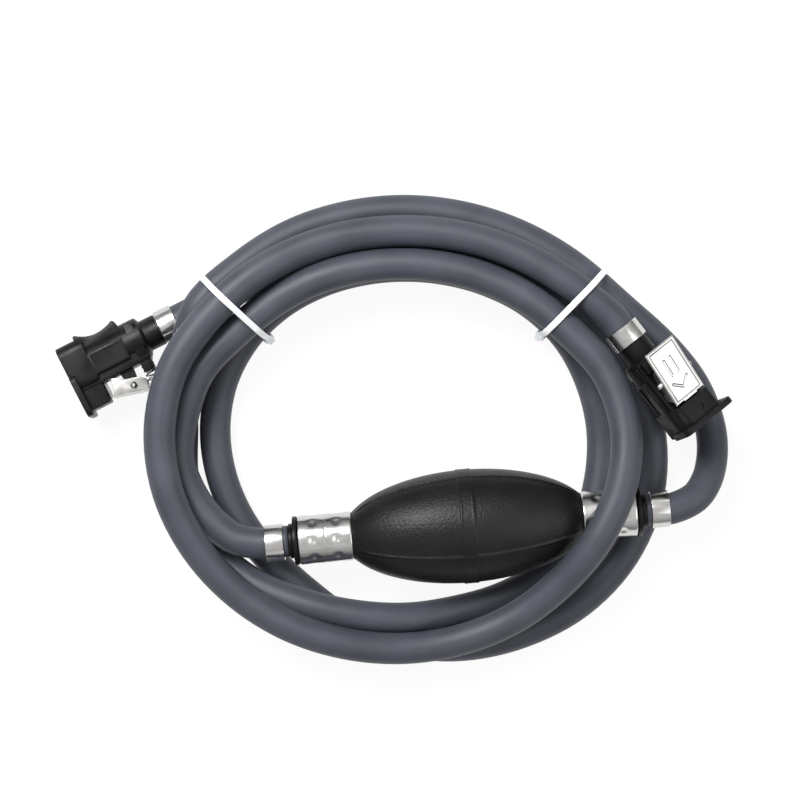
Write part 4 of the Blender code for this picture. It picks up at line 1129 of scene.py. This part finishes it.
def from_stroke(u, w):
    best = 9.0
    for (a, b), (c, d) in ARROW_SHAFT + ARROW_HEAD:
        t = max(0.0, min(1.0, ((u - a) * (c - a) + (w - b) * (d - b)) / ((c - a) ** 2 + (d - b) ** 2)))
        best = min(best, math.hypot(u - a - t * (c - a), w - b - t * (d - b)))
    return best


def plate_height(u, w):
    edge = min(u - REAR, FRONT - u, w + HALF, HALF - w)
    height = 3.4 - 0.45 * ramp(edge, 1.0, 1.8) - 0.4 * (1 - ramp(edge, 0.0, 0.6))
    return height - 0.4 * (1 - ramp(from_stroke(u - REAR, w), 0.15, 0.75))


def make_plate(rows=121, columns=73):
    form = bmesh.new()
    grid = []
    for row in range(rows):
        u = REAR + (FRONT - REAR) * row / (rows - 1)
        line = []
        for column in range(columns):
            w = -HALF + 2 * HALF * column / (columns - 1)
            line.append(form.verts.new((u * MM, plate_height(u, w) * MM, w * MM)))
        grid.append(line)
    for row in range(rows - 1):
        for column in range(columns - 1):
            a, b = grid[row][column], grid[row + 1][column]
            c, d = grid[row + 1][column + 1], grid[row][column + 1]
            form.faces.new((a, d, c, b))
    mesh = bpy.data.meshes.new("plate")
    form.to_mesh(mesh)
    form.free()
    host = mesh_piece("host", mesh)
    wall = host.modifiers.new("wall", "SOLIDIFY")
    wall.thickness = 0.6 * MM
    wall.offset = -1
    return baked(host)


def make_latch():
    plate = make_plate()
    cheek_side = [(-6, 2.9), (-6, -1.6), (-2.8, -3.2), (4.5, -3.2), (6, -4.6), (9, -4.6), (9, 2.9)]
    cheeks = []
    for side in (-1, 1):
        cheeks.append(solid(cheek_side, *sorted((side * 6.5, side * 7.2)), "w", 0.22))
    for mesh in (plate, *cheeks):
        mesh.transform(TILT)
    hook = solid([(10.3, 0.7), (11.1, 0.7), (11.1, -9.8), (10.7, -11), (10.3, -9.8)], -3.6, 3.6, "w", 0.15)
    return combined(plate, [*cheeks, hook], [round_rod(0, 0, 1.5, 14)])


PIVOT = Matrix.Translation((16 * MM, 17.2 * MM, 0))
PIN = [(-9.2, 0), (-9.2, 0.6), (-8.9, 1.0), (-8.4, 1.25), (8.4, 1.25), (8.9, 1.0), (9.2, 0.6), (9.2, 0)]
for end, place in CONNECTORS.items():
    latch = make_latch()
    latch.transform(place @ PIVOT)
    lever = end + "_lever"
    piece = settle(end + "_latch_plate", latch, stainless_sheet, lever, "stainless_sheet", end + "_latch")
    # Faces that look across, the sides of the cheeks and the hook, take the darker sheet: painted shade.
    across = place.to_3x3() @ Vector((0, 0, 1))
    latch.materials.append(painted_shade_sheet)
    for face in latch.polygons:
        face.material_index = 1 if abs(face.normal.dot(across)) > 0.8 else 0
    pin = turned(scaled(PIN), 40)
    pin.transform(place @ PIVOT @ Matrix.Rotation(-math.pi / 2, 4, "Y"))
    settle(end + "_pin", pin, spring_steel, "line", "spring_steel", end + "_latch_pin")
    print(end, "latch faces", len(piece.data.polygons))

# %% [markdown]
# Springs are helices, swept by the same tree as the hoses. Most are hidden inside, but the latch springs show
# from the side.


# %% Springs and seals
TURNS = 5
STEPS_PER_TURN = 24


def make_spring(names, place, start, end, radius, wire):
    """A spring along X from start to end in millimetres. Names are its own, its node's and its joint's; the
    joint's name is not used.
    """
    name, node, joint = names
    points = []
    count = TURNS * STEPS_PER_TURN
    for step in range(count + 1):
        angle = 2 * math.pi * step / STEPS_PER_TURN
        along = start + wire / 2 + (end - start - wire) * step / count
        points.append((along * MM, radius * MM * math.cos(angle), radius * MM * math.sin(angle)))
    mesh = grown(sweep, line_mesh(points), Radius=wire / 2 * MM, Sides=10, Capped=True, Finish=spring_steel)
    outwards(mesh).transform(place)
    piece = settle(name, mesh, spring_steel, "line", "spring_steel", node)
    way = (place.to_3x3() @ Vector((1, 0, 0))).normalized()
    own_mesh(piece)


inlet_names = ("inlet_coil", "inlet_valve_spring", "inlet_valve_slide")
outlet_names = ("outlet_coil", "outlet_valve_spring", "outlet_valve_slide")
make_spring(inlet_names, END_FRAMES["inlet"], 52.6, 59.9, radius=2.9, wire=0.5)
make_spring(outlet_names, END_FRAMES["outlet"], 54.4, 61.7, radius=2.9, wire=0.5)
UPRIGHT = Matrix.Translation((7 * MM, 10 * MM, 0)) @ Matrix.Rotation(math.pi / 2, 4, "Z")
RING_SIDE = [math.pi / 8 * step for step in range(16)]
for end, place in CONNECTORS.items():
    plunger_names = (end + "_plunger_coil", end + "_plunger_spring", end + "_plunger_slide")
    make_spring(plunger_names, place, 8.3, 16.4, radius=2.9, wire=0.5)
    latch_names = (end + "_latch_coil", end + "_latch_spring", end + "_latch_hinge")
    make_spring(latch_names, place @ UPRIGHT, 0.3, 11.2, radius=2.6, wire=0.7)
    seal = turned(scaled([(33.5 + 0.8 * math.cos(a), 7.0 + 0.8 * math.sin(a)) for a in RING_SIDE]), 64)
    seal.transform(place)
    settle(end + "_seal", seal, seal_rubber, "line", "seal_rubber", end + "_o_ring")
print("springs and seals made")

# %% [markdown]
# The pieces that stay as packed are hidden inside: valve discs, plungers, the rings that hold them and the
# hose inserts. They still get their real finishes.

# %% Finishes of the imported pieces
INNER = {
    black_plastic: ("inlet_spring_cage", "outlet_valve_seat", "tank_barb_insert", "engine_barb_insert"),
    valve_brass: ("inlet_valve_poppet", "outlet_valve_poppet", "tank_plunger", "engine_plunger"),
}
for finish, names in INNER.items():
    for name in names:
        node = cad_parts[name]
        node.data.materials.clear()
        node.data.materials.append(finish)
print("inner pieces finished")

# %% [markdown]
# Both hoses are soft. Here only the run of each is worked out again.

# %% Hose runs
run_of(tank_path)
run_of(engine_path)
